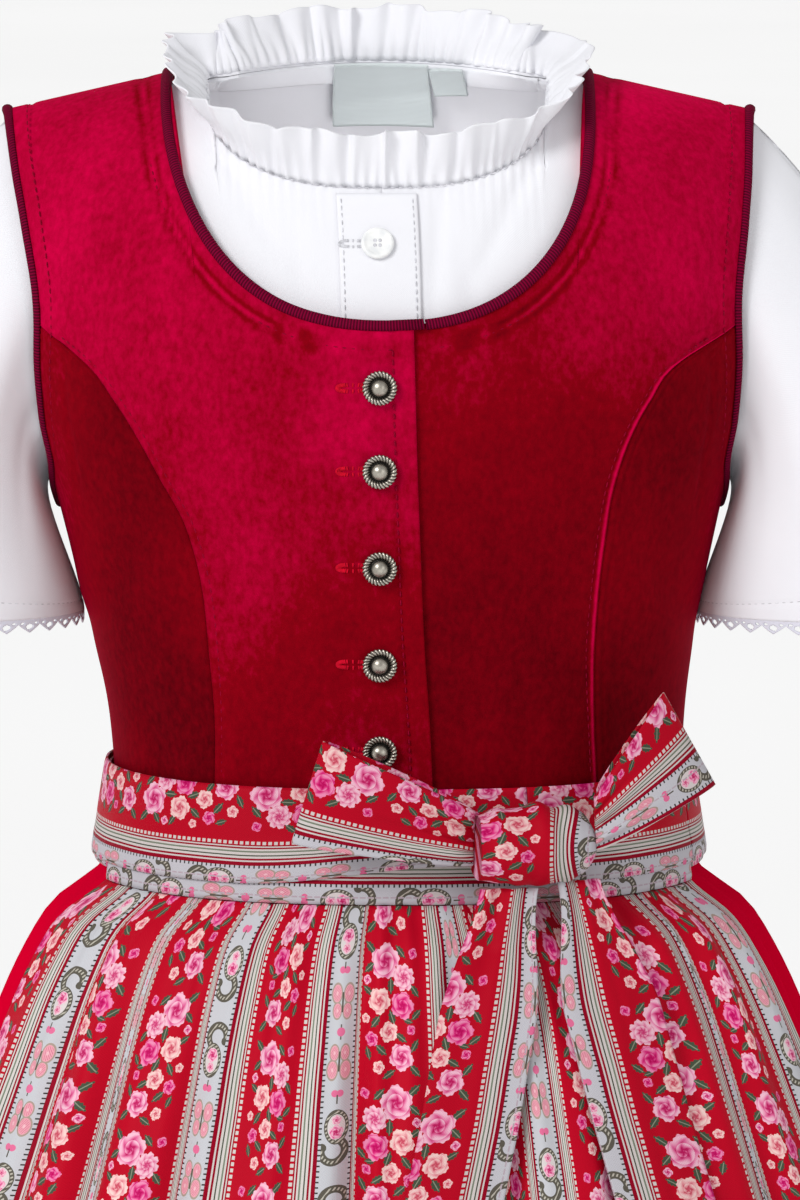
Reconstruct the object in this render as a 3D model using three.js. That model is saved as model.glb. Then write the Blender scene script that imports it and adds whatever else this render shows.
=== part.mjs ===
// A child's dirndl set, filled out as worn: white blouse with a frilled collar, velvet bodice with a
// gathered satin skirt, and a floral apron whose ties close in a bow. Millimetres, +Z up, front to -Y.
// The origin lies between the shoulders, on the height of the inner strap ends. The wearer's right is -X.
import * as THREE from 'three';
import { mergeVertices } from 'three/addons/utils/BufferGeometryUtils.js';

const dirndl = new THREE.Group();
const DEGREE = Math.PI / 180;
const FRONT = 0;
const SIDE = 90 * DEGREE;
const BACK = 180 * DEGREE;

// ---- driving dimensions -------------------------------------------------------------------------
const SEAM_GAP = 0.3;
const WAIST_Z = -262;
const CHEST_Z = -105;
const CHEST_RISE = 0.55;
const CROWN_POWER = 2.5;
const UNDERARM_Z = -147;
const YOKE_Z = -81;

// Walls, as the height of their inner face over the bodice's outer surface, and their thickness.
const LAYER = {
  bodice: { lift: -1.4, thick: 1.4 },
  bodiceLap: { lift: 0.3, thick: 1.4 },
  binding: { lift: 0.9, thick: 1.0 },
  blouse: { lift: -5.6, thick: 1.0 },
  placket: { lift: -4.1, thick: 0.9 },
  neckband: { lift: -9.1, thick: 1.0 },
  label: { lift: -10.8, thick: 1.0 },
};
const PRINT_THICK = 1.0;
const SATIN_THICK = 1.0;
const SEAM_RADIUS = 100;

// Sections of the filled-out bodice: height, half width, depth to the front and back, sideways lean.
const FIGURE = [
  { z: -262, half: 101.5, front: 77, back: 69, lean: 0 },
  { z: -240, half: 102, front: 78, back: 69.5, lean: -0.4 },
  { z: -216, half: 104, front: 80, back: 71, lean: -1 },
  { z: -189, half: 109, front: 83, back: 73, lean: -2.3 },
  { z: -147, half: 118.3, front: 87, back: 76, lean: -3.2 },
  { z: -133, half: 122.3, front: 88, back: 77, lean: -3.5 },
  { z: -115, half: 127.5, front: 88, back: 77.5, lean: -3.7 },
  { z: -97, half: 131, front: 88, back: 78, lean: -3.8 },
  { z: -78, half: 133.5, front: 87, back: 78, lean: -4 },
  { z: -46, half: 137.5, front: 86, back: 77, lean: -5 },
  { z: 0, half: 139, front: 84, back: 76, lean: -7.5 },
  { z: 40, half: 139, front: 84, back: 76, lean: -7.5 },
];
// The shoulder line falls outwards from the strap's inner end; inside the neck hole it is only a guide.
const SHOULDER = { half: 139, inner: 74, z: 6, fall: 0.227, neckHalf: 58, frontZ: 8, backZ: 30 };

// Edges of the bodice, as the half width at a height.
const ARMHOLE = [
  { z: -147, half: 118.3 },
  { z: -132, half: 119.3 },
  { z: -115, half: 121.9 },
  { z: -97, half: 123.2 },
  { z: -78, half: 123 },
  { z: -65, half: 123.8 },
  { z: -46, half: 126.6 },
  { z: -28, half: 129.2 },
  { z: -7.3, half: 132.5 },
];
const PRINCESS_FRONT = [
  { z: -262, right: 65.8, left: 71.8 },
  { z: -200, right: 64.1, left: 70.4 },
  { z: -170, right: 66, left: 73 },
  { z: -148, right: 71.4, left: 76 },
  { z: -132, right: 79.9, left: 79.4 },
  { z: -117, right: 88.2, left: 85 },
  { z: -104, right: 96.8, left: 92.3 },
  { z: -93, right: 106, left: 101 },
  { z: -81, right: 122.9, left: 122.9 },
];
const PRINCESS_BACK = [
  { z: -262, half: 52 },
  { z: -200, half: 53 },
  { z: -160, half: 60 },
  { z: -130, half: 74 },
  { z: -105, half: 94 },
  { z: -81, half: 122.9 },
];
// Necklines: a rounded U from the shoulder line down to the lowest point.
const NECK_FRONT = { half: 74, top: 6, low: -77.5, power: 2.35 };
const NECK_BACK = { half: 74, top: 6, low: -30, power: 2.3 };
const COLLAR_FRONT = { half: 61.5, top: 8.8, low: -29.5, power: 2.6 };
const COLLAR_BACK = { half: 61.5, top: 8.8, low: 12, power: 2 };
const LAP_EDGE = { top: 9, waist: 12.5 };
const UNDERLAP_EDGE = -12;
const LAP_RAMP = { from: -40, to: -22 };
const BINDING = { inner: 0.3, outer: 2.8, lapTurn: 7.5, lapGap: 0.4, columns: 52, armholeColumns: 32 };
const BLOUSE_HEM_Z = -175;

// Buttons, with the shares of radius and height that their turned profiles pass through.
const BUTTONS = {
  across: -6.6,
  heights: [-98.9, -127.5, -161, -195, -226],
  radius: 6,
  proud: 4.6,
  profile: [
    { out: 0, up: 0 },
    { out: 0.8, up: 0 },
    { out: 1, up: 0.28 },
    { out: 0.86, up: 0.5 },
    { out: 0.62, up: 0.42 },
    { out: 0.4, up: 0.8 },
    { out: 0, up: 1 },
  ],
};
const BLOUSE_BUTTON = {
  across: -7.4,
  z: -49.2,
  radius: 5.8,
  proud: 1.8,
  profile: [
    { out: 0, up: 0 },
    { out: 0.9, up: 0 },
    { out: 1, up: 0.5 },
    { out: 0.9, up: 1 },
    { out: 0.6, up: 0.7 },
    { out: 0, up: 0.7 },
  ],
};
const PLACKET = { halves: [-16, 12], heights: [-112, -31.5], columns: 3, rows: 7 };
const NECK_LABEL = { halves: [-19, 22], heights: [-10, 15.5], columns: 4, rows: 2 };
const SIZE_TAB = { halves: [23, 35.5], heights: [3.5, 14.5], tilt: 1.4, columns: 2, rows: 1 };
const BUTTON_SIDES = 12;
const NECKBAND = { high: 5.8, edge: 0.2, columns: 44 };

const FRILL = {
  waves: 40,
  height: 17.5,
  baseWave: 0.35,
  topWave: 1.9,
  thick: 0.9,
  seamPoints: 36,
  flareOver: [-0.6, 0.6],
  flareFront: 12,
  flareSide: 46,
  seat: 2.6,
};
// The sleeve leaves the armhole and bends to its hem; each bend is a step from its end, [top, underarm].
const SLEEVE = {
  hemZ: -186,
  hemX: 158,
  hemHalf: 47.5,
  hemDepth: 42,
  thick: 1.0,
  gathers: 7,
  gatherDeep: 1.1,
  gatherShare: 1.4,
  armX: 146,
  startScale: 0.945,
  clear: 1.2,
  stepOut: [30, 15],
  stepIn: [5, 3],
  stepDown: [30, -1],
  stepForward: 7,
  hemStepOut: [-1, 4],
  hemStepUp: [70, 18],
  hemStepForward: 3,
  flow: [0, 0.1, 0.25, 0.45, 0.7, 1],
  endInset: 0.005,
};
const LACE = { deep: 4.6, points: 32, thick: 1.0, rim: 1.6 };

// Skirt sections below the waist seam, with the depth of the folds there.
const SKIRT = [
  { z: -262, half: 101.5, front: 77, back: 69, fold: 0.3 },
  { z: -270, half: 103.5, front: 79, back: 71, fold: 0.5 },
  { z: -279, half: 107.5, front: 82.5, back: 75, fold: 0.8 },
  { z: -291, half: 123, front: 91, back: 86, fold: 1.5 },
  { z: -304, half: 131.5, front: 97, back: 94, fold: 2.3 },
  { z: -324, half: 140.5, front: 104, back: 103, fold: 3.5 },
  { z: -375, half: 159, front: 119, back: 122, fold: 6 },
  { z: -450, half: 186, front: 141, back: 147, fold: 9 },
  { z: -550, half: 217, front: 168, back: 175, fold: 11 },
  { z: -655, half: 243, front: 196, back: 204, fold: 12 },
];
// Folds round the skirt: their number, how unevenly deep they are and how far they wander sideways.
const SKIRT_FOLD = {
  count: 24,
  pressedOver: [0.93, 1],
  deep: 0.8,
  uneven: 0.2,
  unevenWaves: 5,
  unevenFrom: 1,
  wander: 0.5,
  wanderWaves: 3,
  wanderFrom: 0.6,
};
const SKIRT_HEM_Z = -655;
const SKIRT_LEVELS = [-540, -430, -350, -304, -281];
const SKIRT_COLUMNS = { front: 42, back: 50 };
const UNDER_APRON = 0.45;

// Apron: its spread round the front, and its folds by place (sine of the angle), depth and width.
const APRON = {
  topZ: -279.3,
  hemZ: -628,
  levels: [-560, -480, -405, -345, -308, -290],
  spread: 0.945,
  clear: 1.6,
  foldDepth: 1.15,
  flatOver: [0.86, 0.95],
  flat: 0.5,
  gathers: 34,
  gatherDeep: 0.9,
  gatherLong: 60,
  gatherStart: 0.25,
  columns: 68,
};
const APRON_FOLDS = [
  { place: -0.86, deep: 0.5, wide: 0.04 },
  { place: -0.76, deep: 0.75, wide: 0.035 },
  { place: -0.634, deep: 0.8, wide: 0.03 },
  { place: -0.464, deep: 0.7, wide: 0.035 },
  { place: -0.095, deep: 1, wide: 0.035 },
  { place: 0.236, deep: 0.7, wide: 0.045 },
  { place: 0.476, deep: 0.95, wide: 0.045 },
  { place: 0.754, deep: 0.8, wide: 0.035 },
  { place: 0.86, deep: 0.45, wide: 0.035 },
];

// Waistband and ties lie on the waist as a slightly flared belt.
const BELT = { topZ: -239, lowZ: -279, half: [102.9, 109.3], front: [79, 84.6], back: [70.3, 77.3] };
const BAND = { topZ: -244, lowZ: -278.8, lift: 0.3, columns: 20 };
const TIE_INNER = { topZ: -241, lowZ: -275, lift: 0.3, columns: 22 };
const TIE_OUTER = { topZ: -239.5, lowZ: -273, lift: 1.7, columns: 42, endColumns: 8 };
const TIE_END = { drawnIn: 7, from: -0.35 * SIDE, to: 0.12 * SIDE, underKnot: 1.5 };
const KNOT = {
  x: 42.2,
  z: -257,
  halfWide: 21.5,
  halfHigh: 14.5,
  halfDeep: 12,
  standOff: 0.4,
  crease: 0.1,
  creaseAt: 0.35,
  creaseWide: 0.18,
  columns: 16,
  rows: 10,
};
const RIBBON_SHARES = [-1, -0.5, 0, 0.5, 1];
const LOOP_ENDS = { first: 0.045, last: 0.955, columns: 18, widenEarly: 0.8 };
const LOOP_RIGHT_SIDE = {
  name: 'bow_loop_right',
  root: [26.7, -94, -254.5],
  tip: [-31, -102, -237],
  rootWide: 18,
  tipWide: 37,
  tipSkew: [5.5, 0, 18],
  puff: 8,
};
const LOOP_LEFT_SIDE = {
  name: 'bow_loop_left',
  root: [67, -91, -250],
  tip: [101, -76, -222],
  rootWide: 17,
  tipWide: 37,
  tipSkew: [-9, 0, 16],
  puff: 8,
};
// Each tail hangs from the knot over the apron's ridges; its middle passes three places across.
const TAIL = {
  wide: 34,
  midZ: -350,
  lift: 2.2,
  widenOver: 45,
  bow: 3,
  bowOver: 60,
  bandClear: 12,
  rows: 9,
  tries: 12,
};
const TAILS = [
  { name: 'bow_tail_right', topX: 38, midX: 24, lowX: -2, topZ: -271.5, lowZ: -470, topWide: 20 },
  { name: 'bow_tail_left', topX: 62, midX: 84, lowX: 117, topZ: -269.5, lowZ: -462, topWide: 15 },
];

// ---- materials ----------------------------------------------------------------------------------
const paint = (color, roughness, metalness = 0) => (
  new THREE.MeshStandardMaterial({ color, roughness, metalness })
);
const cotton = paint(0xf2f2f5, 0.85);
const velvet = paint(0xa0002e, 0.95);
const velvetDark = paint(0x7a0024, 0.95);
const grosgrain = paint(0x6d0a2c, 0.8);
const satin = paint(0xc4001f, 0.5);
const print = paint(0xc42438, 0.6);
const tiePrint = paint(0xd08088, 0.6);
const silver = paint(0xa8a298, 0.35, 0.9);
const pearl = paint(0xf4f4f2, 0.3);
const labelCloth = paint(0xc2c4cc, 0.6);

// ---- numbers ------------------------------------------------------------------------------------
const mix = (a, b, t) => a + (b - a) * t;
const clamp = (x, low, high) => Math.min(high, Math.max(low, x));
const ease = (low, high, x) => {
  const t = clamp((x - low) / (high - low), 0, 1);
  return t * t * (3 - 2 * t);
};
const steps = (count) => Array.from({ length: count + 1 }, (_, i) => i / count);

// Smooth value of one column of a table at a place in its key column, by cubic pieces.
function read(table, key, column, at) {
  const up = table[table.length - 1][key] > table[0][key] ? 1 : -1;
  let i = 0;
  while (i < table.length - 2 && (table[i + 1][key] - at) * up < 0) i += 1;
  const slope = (k) => {
    const a = table[Math.max(0, k - 1)];
    const b = table[Math.min(table.length - 1, k + 1)];
    return (b[column] - a[column]) / (b[key] - a[key]);
  };
  const span = table[i + 1][key] - table[i][key];
  const t = clamp((at - table[i][key]) / span, 0, 1);
  const h1 = t * t * (3 - 2 * t);
  return mix(table[i][column], table[i + 1][column], h1)
    + span * slope(i) * t * (1 - t) ** 2
    - span * slope(i + 1) * t * t * (1 - t);
}

// ---- the figure ---------------------------------------------------------------------------------
// A level section: a rounded box whose front and back are flatter than an ellipse.
function section(angle, half, front, back, lean, z) {
  const sine = Math.sin(angle);
  const crown = Math.sqrt(Math.max(0, 1 - Math.abs(sine) ** CROWN_POWER));
  const y = Math.cos(angle) >= 0 ? -front * crown : back * crown;
  return new THREE.Vector3(lean + half * sine, y, z);
}

// Height of the shoulder line over a place across the body.
function shoulderZ(sine, isBack) {
  const across = Math.abs(sine) * SHOULDER.half;
  const line = SHOULDER.z - SHOULDER.fall * (across - SHOULDER.inner);
  if (across >= SHOULDER.neckHalf) return line;
  const edgeZ = SHOULDER.z - SHOULDER.fall * (SHOULDER.neckHalf - SHOULDER.inner);
  const share = 0.5 - 0.5 * Math.cos(Math.PI * across / SHOULDER.neckHalf);
  return mix(isBack ? SHOULDER.backZ : SHOULDER.frontZ, edgeZ, share);
}

const shoulderTurn = (rise) => Math.max(0, (rise - CHEST_RISE) / (1 - CHEST_RISE)) * SIDE;

function heightOf(angle, rise) {
  if (rise <= CHEST_RISE) return mix(WAIST_Z, CHEST_Z, rise / CHEST_RISE);
  return CHEST_Z + (shoulderZ(Math.sin(angle), Math.cos(angle) < 0) - CHEST_Z) * Math.sin(shoulderTurn(rise));
}

function riseOf(angle, z) {
  if (z <= CHEST_Z) return CHEST_RISE * (z - WAIST_Z) / (CHEST_Z - WAIST_Z);
  const top = shoulderZ(Math.sin(angle), Math.cos(angle) < 0);
  return CHEST_RISE + (1 - CHEST_RISE) * Math.asin(clamp((z - CHEST_Z) / (top - CHEST_Z), 0, 1)) / SIDE;
}

// The angle round the body of a place at a half width from the middle, on the front or the back.
function angleOf(half, z, isBack = false) {
  const angle = Math.asin(clamp(half / read(FIGURE, 'z', 'half', z), -1, 1));
  return isBack ? BACK - angle : angle;
}

const halfOf = (angle, rise) => Math.sin(angle) * read(FIGURE, 'z', 'half', heightOf(angle, rise));

function figure(angle, rise) {
  const z = heightOf(angle, rise);
  const size = (column) => read(FIGURE, 'z', column, z);
  const round = Math.cos(shoulderTurn(rise));
  return section(angle, size('half'), size('front') * round, size('back') * round, size('lean'), z);
}

// The normal of a surface of two numbers, on the left of its first direction.
const NUDGE = 0.0005;
function normalOf(surface, p, q) {
  const across = surface(p + NUDGE, q).sub(surface(p - NUDGE, q));
  const along = surface(p, q + NUDGE).sub(surface(p, q - NUDGE));
  return across.cross(along).normalize();
}

// Out from the body at a place on the figure.
function figureNormal(angle, rise) {
  const low = Math.min(rise, 1 - NUDGE);
  return normalOf(figure, angle, low);
}

function onFigure(angle, rise, lift) {
  return figure(angle, rise).addScaledVector(figureNormal(angle, rise), lift);
}

// ---- walls --------------------------------------------------------------------------------------
const WELD = 1e-4;

function meshOf(name, points, faces, material) {
  let geometry = new THREE.BufferGeometry();
  const numbers = points.flatMap((p) => [p.x, p.y, p.z]);
  geometry.setAttribute('position', new THREE.Float32BufferAttribute(numbers, 3));
  geometry.setIndex(faces);
  geometry = mergeVertices(geometry, WELD);
  const place = geometry.attributes.position;
  const corner = (k) => new THREE.Vector3().fromBufferAttribute(place, k);
  const index = Array.from(geometry.index.array);
  let volume = 0;
  for (let k = 0; k < index.length; k += 3) {
    volume += corner(index[k]).dot(corner(index[k + 1]).cross(corner(index[k + 2])));
  }
  geometry.setIndex(volume > 0 ? index : index.reverse());
  geometry.computeVertexNormals();
  const mesh = new THREE.Mesh(geometry, material);
  mesh.name = name;
  dirndl.add(mesh);
  return mesh;
}

// A closed wall between two grids of points, grid[row][column]; a loop closes round its columns.
function wall(name, outer, inner, material, isLoop = false) {
  const rows = outer.length;
  const columns = outer[0].length;
  const points = [...outer.flat(), ...inner.flat()];
  const half = rows * columns;
  const at = (side, j, i) => side * half + j * columns + (i % columns);
  const faces = [];
  // Each cell is split along its shorter diagonal.
  const quad = (a, b, c, d) => {
    if (points[a].distanceTo(points[c]) <= points[b].distanceTo(points[d])) faces.push(a, b, c, a, c, d);
    else faces.push(a, b, d, b, c, d);
  };
  const cells = isLoop ? columns : columns - 1;
  for (let j = 0; j < rows - 1; j += 1) {
    for (let i = 0; i < cells; i += 1) {
      quad(at(0, j, i), at(0, j, i + 1), at(0, j + 1, i + 1), at(0, j + 1, i));
      quad(at(1, j, i), at(1, j + 1, i), at(1, j + 1, i + 1), at(1, j, i + 1));
    }
  }
  for (let i = 0; i < cells; i += 1) {
    quad(at(0, 0, i), at(1, 0, i), at(1, 0, i + 1), at(0, 0, i + 1));
    quad(at(0, rows - 1, i), at(0, rows - 1, i + 1), at(1, rows - 1, i + 1), at(1, rows - 1, i));
  }
  if (!isLoop) {
    for (let j = 0; j < rows - 1; j += 1) {
      const last = columns - 1;
      quad(at(0, j, 0), at(0, j + 1, 0), at(1, j + 1, 0), at(1, j, 0));
      quad(at(0, j, last), at(1, j, last), at(1, j + 1, last), at(0, j + 1, last));
    }
  }
  return meshOf(name, points, faces, material);
}

// A wall over a surface of two numbers: the surface is its outer face.
function surfaceWall(name, surface, across, along, thick, material, isLoop = false) {
  const outer = along.map((q) => across.map((p) => surface(p, q)));
  const inwards = (p, q) => surface(p, q).addScaledVector(normalOf(surface, p, q), -thick);
  const inner = along.map((q) => across.map((p) => inwards(p, q)));
  return wall(name, outer, inner, material, isLoop);
}

// ---- panels on the figure -----------------------------------------------------------------------
// An edge given by half widths becomes the angle at each rise.
// Edges on the wearer's right have negative angles at the front and pass the half turn at the back.
function edge(rows, column, isBack, heightAt = (z) => z) {
  const table = rows.map((row) => {
    const angle = angleOf(row[column], row.z, isBack);
    return { rise: riseOf(angle, heightAt(row.z)), angle };
  });
  const last = table[table.length - 1].rise;
  return (rise) => read(table, 'rise', 'angle', clamp(rise, table[0].rise, last));
}
const mirrored = (angleAt, isBack) => (rise) => (isBack ? 2 * BACK : 0) - angleAt(rise);

const upright = (half) => (rise) => {
  const z = heightOf(FRONT, rise);
  return angleOf(half(z), z);
};

const YOKE_RISE = riseOf(angleOf(122.9, YOKE_Z), YOKE_Z);
const UNDERARM_RISE = riseOf(SIDE, UNDERARM_Z);

// The height of a neckline at a half width; outside it the cloth runs up to the shoulder.
function neckZ(neck, half) {
  const share = Math.min(1, Math.abs(half) / neck.half);
  return neck.top - (neck.top - neck.low) * (1 - share ** neck.power) ** (1 / neck.power);
}

// How far up a column of a panel runs before it meets the neckline, found by halving.
const HALVINGS = 30;
function columnTop(angleAt, neck) {
  const isCloth = (rise) => {
    const angle = angleAt(rise);
    const z = heightOf(angle, rise);
    const half = Math.sin(angle) * read(FIGURE, 'z', 'half', z);
    return Math.abs(half) >= neck.half || z < neckZ(neck, half);
  };
  let low = YOKE_RISE;
  let high = 1;
  if (isCloth(high)) return high;
  for (let k = 0; k < HALVINGS; k += 1) {
    const middle = (low + high) / 2;
    if (isCloth(middle)) low = middle;
    else high = middle;
  }
  return low;
}

// Edge of a panel drawn back by half a seam gap, in the angle or rise of the figure.
const SEAM_ANGLE = SEAM_GAP / 2 / SEAM_RADIUS;
const SEAM_RISE = SEAM_GAP / 2 * CHEST_RISE / (CHEST_Z - WAIST_Z);
// Length of cloth in one whole rise, at a place on the figure.
const riseLength = (angle, rise) => figure(angle, rise).distanceTo(figure(angle, rise - NUDGE)) / NUDGE;

// A panel between two upright edges, from a lower rise to the yoke and on to the neckline or shoulder.
function panel({ name, from, to, bottom, shares, lowRows, highRows, neck, layer, material, liftAt }) {
  const grid = { outer: [], inner: [] };
  const angleAt = (share) => (rise) => mix(from(rise) + SEAM_ANGLE, to(rise) - SEAM_ANGLE, share);
  const tops = shares.map((share) => {
    if (!highRows) return YOKE_RISE;
    const top = columnTop(angleAt(share), neck);
    return top - SEAM_GAP / 2 / riseLength(angleAt(share)(top), top);
  });
  const lowLevels = lowRows.map((t) => mix(bottom + SEAM_RISE, YOKE_RISE, t));
  const levels = [...lowLevels, ...steps(highRows || 1).slice(1)];
  const count = highRows ? levels.length : lowRows.length;
  for (let j = 0; j < count; j += 1) {
    const rises = tops.map((top) => (j < lowRows.length ? levels[j] : mix(YOKE_RISE, top, levels[j])));
    const angles = shares.map((share, i) => angleAt(share)(rises[i]));
    const lifts = angles.map((angle, i) => layer.lift + (liftAt ? liftAt(halfOf(angle, rises[i])) : 0));
    grid.inner.push(angles.map((angle, i) => onFigure(angle, rises[i], lifts[i])));
    grid.outer.push(angles.map((angle, i) => onFigure(angle, rises[i], lifts[i] + layer.thick)));
  }
  return wall(name, grid.outer, grid.inner, material);
}

// Shares across a panel from its first to its last edge, with a strap's inner end at each given share.
// Next to a strap the columns stand closer, since the neckline is steep there.
function strapFirst(strap, strapColumns, neckColumns) {
  const past = steps(neckColumns).slice(1).map((t) => mix(strap, 1, 1 - Math.cos(t * SIDE)));
  return [...steps(strapColumns).map((t) => t * strap), ...past];
}
const strapLast = (strap, ...counts) => strapFirst(1 - strap, ...counts).map((t) => 1 - t).reverse();
function strapBothEnds(strap, strapColumns, neckColumns) {
  const past = (t) => mix(strap, 1 - strap, (1 - Math.cos(t * BACK)) / 2);
  const across = steps(neckColumns).slice(1, -1).map(past);
  const ends = steps(strapColumns).map((t) => t * strap);
  return [...ends, ...across, ...ends.map((t) => 1 - t).reverse()];
}

// Where across a panel the strap's inner end meets the shoulder line.
function strapShare(from, to, neckHalf, side, isBack) {
  const raw = Math.asin(neckHalf / SHOULDER.half);
  const angle = isBack ? BACK - side * raw : side * raw;
  return (angle - from(1)) / (to(1) - from(1));
}

// ---- bodice -------------------------------------------------------------------------------------
const armholeFront = edge(ARMHOLE, 'half', false);
const armholeBack = edge(ARMHOLE, 'half', true);
const sideEdge = (armhole, underarm) => (rise) => (rise < underarm ? SIDE : armhole(rise));
const joined = (low, high) => (rise) => (rise < YOKE_RISE ? low(rise) : high(rise));
// Rows below the yoke, as shares of the way up to it, and above it up to the neckline or shoulder.
const LOW_ROWS = [0, 0.22, 0.43, 0.62, 0.78, 0.9, 0.972, 1];
const TIP_ROWS = LOW_ROWS.slice(0, -1);
const BLOUSE_LOW_ROWS = [0, 0.25, 0.5, 0.75, 1];
const HIGH_ROWS = 6;
// Columns across a strap, and across the neckline next to it.
const BODICE_COLUMNS = [4, 6];
const BODICE_BACK_COLUMNS = [4, 8];
const BLOUSE_COLUMNS = [4, 5];
const BLOUSE_BACK_COLUMNS = [4, 7];

const lapShare = (z) => clamp((z - WAIST_Z) / (NECK_FRONT.low - WAIST_Z), 0, 1);
const lapHalf = (z) => mix(LAP_EDGE.waist, LAP_EDGE.top, lapShare(z));
const lapLift = (half) => (LAYER.bodiceLap.lift - LAYER.bodice.lift) * ease(LAP_RAMP.from, LAP_RAMP.to, half);

function makeCentreFronts() {
  const princessRight = edge(PRINCESS_FRONT, 'right', false);
  const princessLeft = edge(PRINCESS_FRONT, 'left', false);
  const shared = { bottom: 0, lowRows: LOW_ROWS, highRows: HIGH_ROWS, neck: NECK_FRONT, layer: LAYER.bodice };
  const right = { from: mirrored(joined(princessRight, armholeFront)), to: upright(lapHalf) };
  const strapRight = strapShare(right.from, right.to, NECK_FRONT.half, -1, false);
  panel({
    ...shared, ...right, name: 'bodice_centre_front_right', liftAt: lapLift, material: velvet,
    shares: strapFirst(strapRight, ...BODICE_COLUMNS),
  });
  const left = { from: upright(() => UNDERLAP_EDGE), to: joined(princessLeft, armholeFront) };
  const strapLeft = strapShare(left.from, left.to, NECK_FRONT.half, 1, false);
  panel({
    ...shared, ...left, name: 'bodice_centre_front_left', material: velvet,
    shares: strapLast(strapLeft, ...BODICE_COLUMNS),
  });
}

function makeSidePanels() {
  const shared = { bottom: 0, lowRows: TIP_ROWS, highRows: 0, layer: LAYER.bodice, material: velvetDark };
  const columns = 4;
  const outerFront = sideEdge(armholeFront, UNDERARM_RISE);
  const outerBack = sideEdge(armholeBack, UNDERARM_RISE);
  const princessBack = edge(PRINCESS_BACK, 'half', true);
  const princessRight = edge(PRINCESS_FRONT, 'right', false);
  const princessLeft = edge(PRINCESS_FRONT, 'left', false);
  const pieces = [
    { name: 'bodice_side_front_right', from: mirrored(outerFront), to: mirrored(princessRight) },
    { name: 'bodice_side_front_left', from: princessLeft, to: outerFront },
    { name: 'bodice_side_back_left', from: outerBack, to: princessBack },
    { name: 'bodice_side_back_right', from: mirrored(princessBack, true), to: mirrored(outerBack, true) },
  ];
  pieces.forEach((piece) => panel({ ...shared, ...piece, shares: steps(columns) }));
}

function makeCentreBack() {
  const outer = joined(edge(PRINCESS_BACK, 'half', true), armholeBack);
  const from = outer;
  const to = mirrored(outer, true);
  const strap = strapShare(from, to, NECK_BACK.half, 1, true);
  panel({
    name: 'bodice_centre_back', from, to, bottom: 0, lowRows: LOW_ROWS, highRows: HIGH_ROWS, neck: NECK_BACK,
    layer: LAYER.bodice, material: velvet, shares: strapBothEnds(strap, ...BODICE_BACK_COLUMNS),
  });
}

// A point of a neckline, round from the front middle over the wearer's left, grown outwards from it.
const roundedSine = (turn, power) => Math.sign(Math.sin(turn)) * Math.abs(Math.sin(turn)) ** (2 / power);

function neckPoint(front, back, turn, grow, lift) {
  const isBack = Math.cos(turn) < 0;
  const neck = isBack ? back : front;
  const size = neck.half + grow;
  const half = size * roundedSine(turn, neck.power);
  const top = SHOULDER.z - SHOULDER.fall * (size - SHOULDER.inner);
  const z = neckZ({ half: size, top, low: neck.low - grow, power: neck.power }, half);
  const angle = angleOf(half, z, isBack);
  return onFigure(angle, riseOf(angle, z), lift);
}

// A point on an armhole: turn 0 on the shoulder, a quarter turn at the front; in lies towards the arm.
const ARM_MIDDLE = { x: 170, z: -75 };
function armholePoint(front, back, low, side, turn, lift) {
  const isBack = Math.sin(turn) < 0;
  const rise = mix(low, 1, (1 + Math.cos(turn)) / 2);
  const angle = side * (isBack ? back(rise) : front(rise));
  const point = onFigure(angle, rise, lift);
  const normal = figureNormal(angle, rise);
  const inwards = new THREE.Vector3(side * ARM_MIDDLE.x, 0, ARM_MIDDLE.z).sub(point);
  inwards.addScaledVector(normal, -inwards.dot(normal)).normalize();
  return { point, normal, inwards };
}

const turns = (count, from = 0, to = 2 * BACK) => steps(count).map((t) => mix(from, to, t));
// Turns round a neckline, closer together at the shoulders, where it runs steeply.
const SHOULDER_CROWDING = 0.38;
const neckTurns = (count) => turns(count).map((turn) => turn + SHOULDER_CROWDING * Math.sin(2 * turn));

function makeBindings() {
  const { lift, thick } = LAYER.binding;
  const lapTurn = BINDING.lapTurn * DEGREE;
  const lapEnd = 2 * BACK + lapTurn - BINDING.lapGap * DEGREE;
  const around = neckTurns(BINDING.columns).map((turn) => clamp(turn, lapTurn, 2 * BACK))
    .concat(turns(2, 2 * BACK, lapEnd).slice(1)).slice(1);
  const edgeAt = (grow, height) => around.map((turn) => {
    const isLap = turn > 1.5 * BACK;
    const raised = isLap ? lapLift(NECK_FRONT.half * roundedSine(turn, NECK_FRONT.power)) : 0;
    return neckPoint(NECK_FRONT, NECK_BACK, turn, grow, height + raised);
  });
  const insets = [BINDING.inner, BINDING.outer];
  const outer = insets.map((w) => edgeAt(w, lift + thick));
  wall('neck_binding', outer, insets.map((w) => edgeAt(w, lift)), grosgrain);
  [{ side: -1, word: 'right' }, { side: 1, word: 'left' }].forEach(({ side, word }) => {
    const ring = (inset, height) => turns(BINDING.armholeColumns).slice(0, -1).map((turn) => {
      const { point, inwards } = armholePoint(armholeFront, armholeBack, UNDERARM_RISE, side, turn, height);
      return point.addScaledVector(inwards, -inset);
    });
    const rings = (height) => insets.map((w) => ring(w, height));
    wall(`armhole_binding_${word}`, rings(lift + thick), rings(lift), grosgrain, true);
  });
}

// A round button standing on the figure, its axis along the cloth's normal.
function button(name, { across, radius, proud, profile }, z, lift, material) {
  const rim = profile.map(({ out, up }) => new THREE.Vector2(out * radius, up * proud));
  const mesh = new THREE.Mesh(new THREE.LatheGeometry(rim, BUTTON_SIDES), material);
  const angle = angleOf(across - read(FIGURE, 'z', 'lean', z), z);
  const rise = riseOf(angle, z);
  mesh.name = name;
  mesh.position.copy(onFigure(angle, rise, lift));
  mesh.quaternion.setFromUnitVectors(new THREE.Vector3(0, 1, 0), figureNormal(angle, rise));
  dirndl.add(mesh);
}

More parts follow.
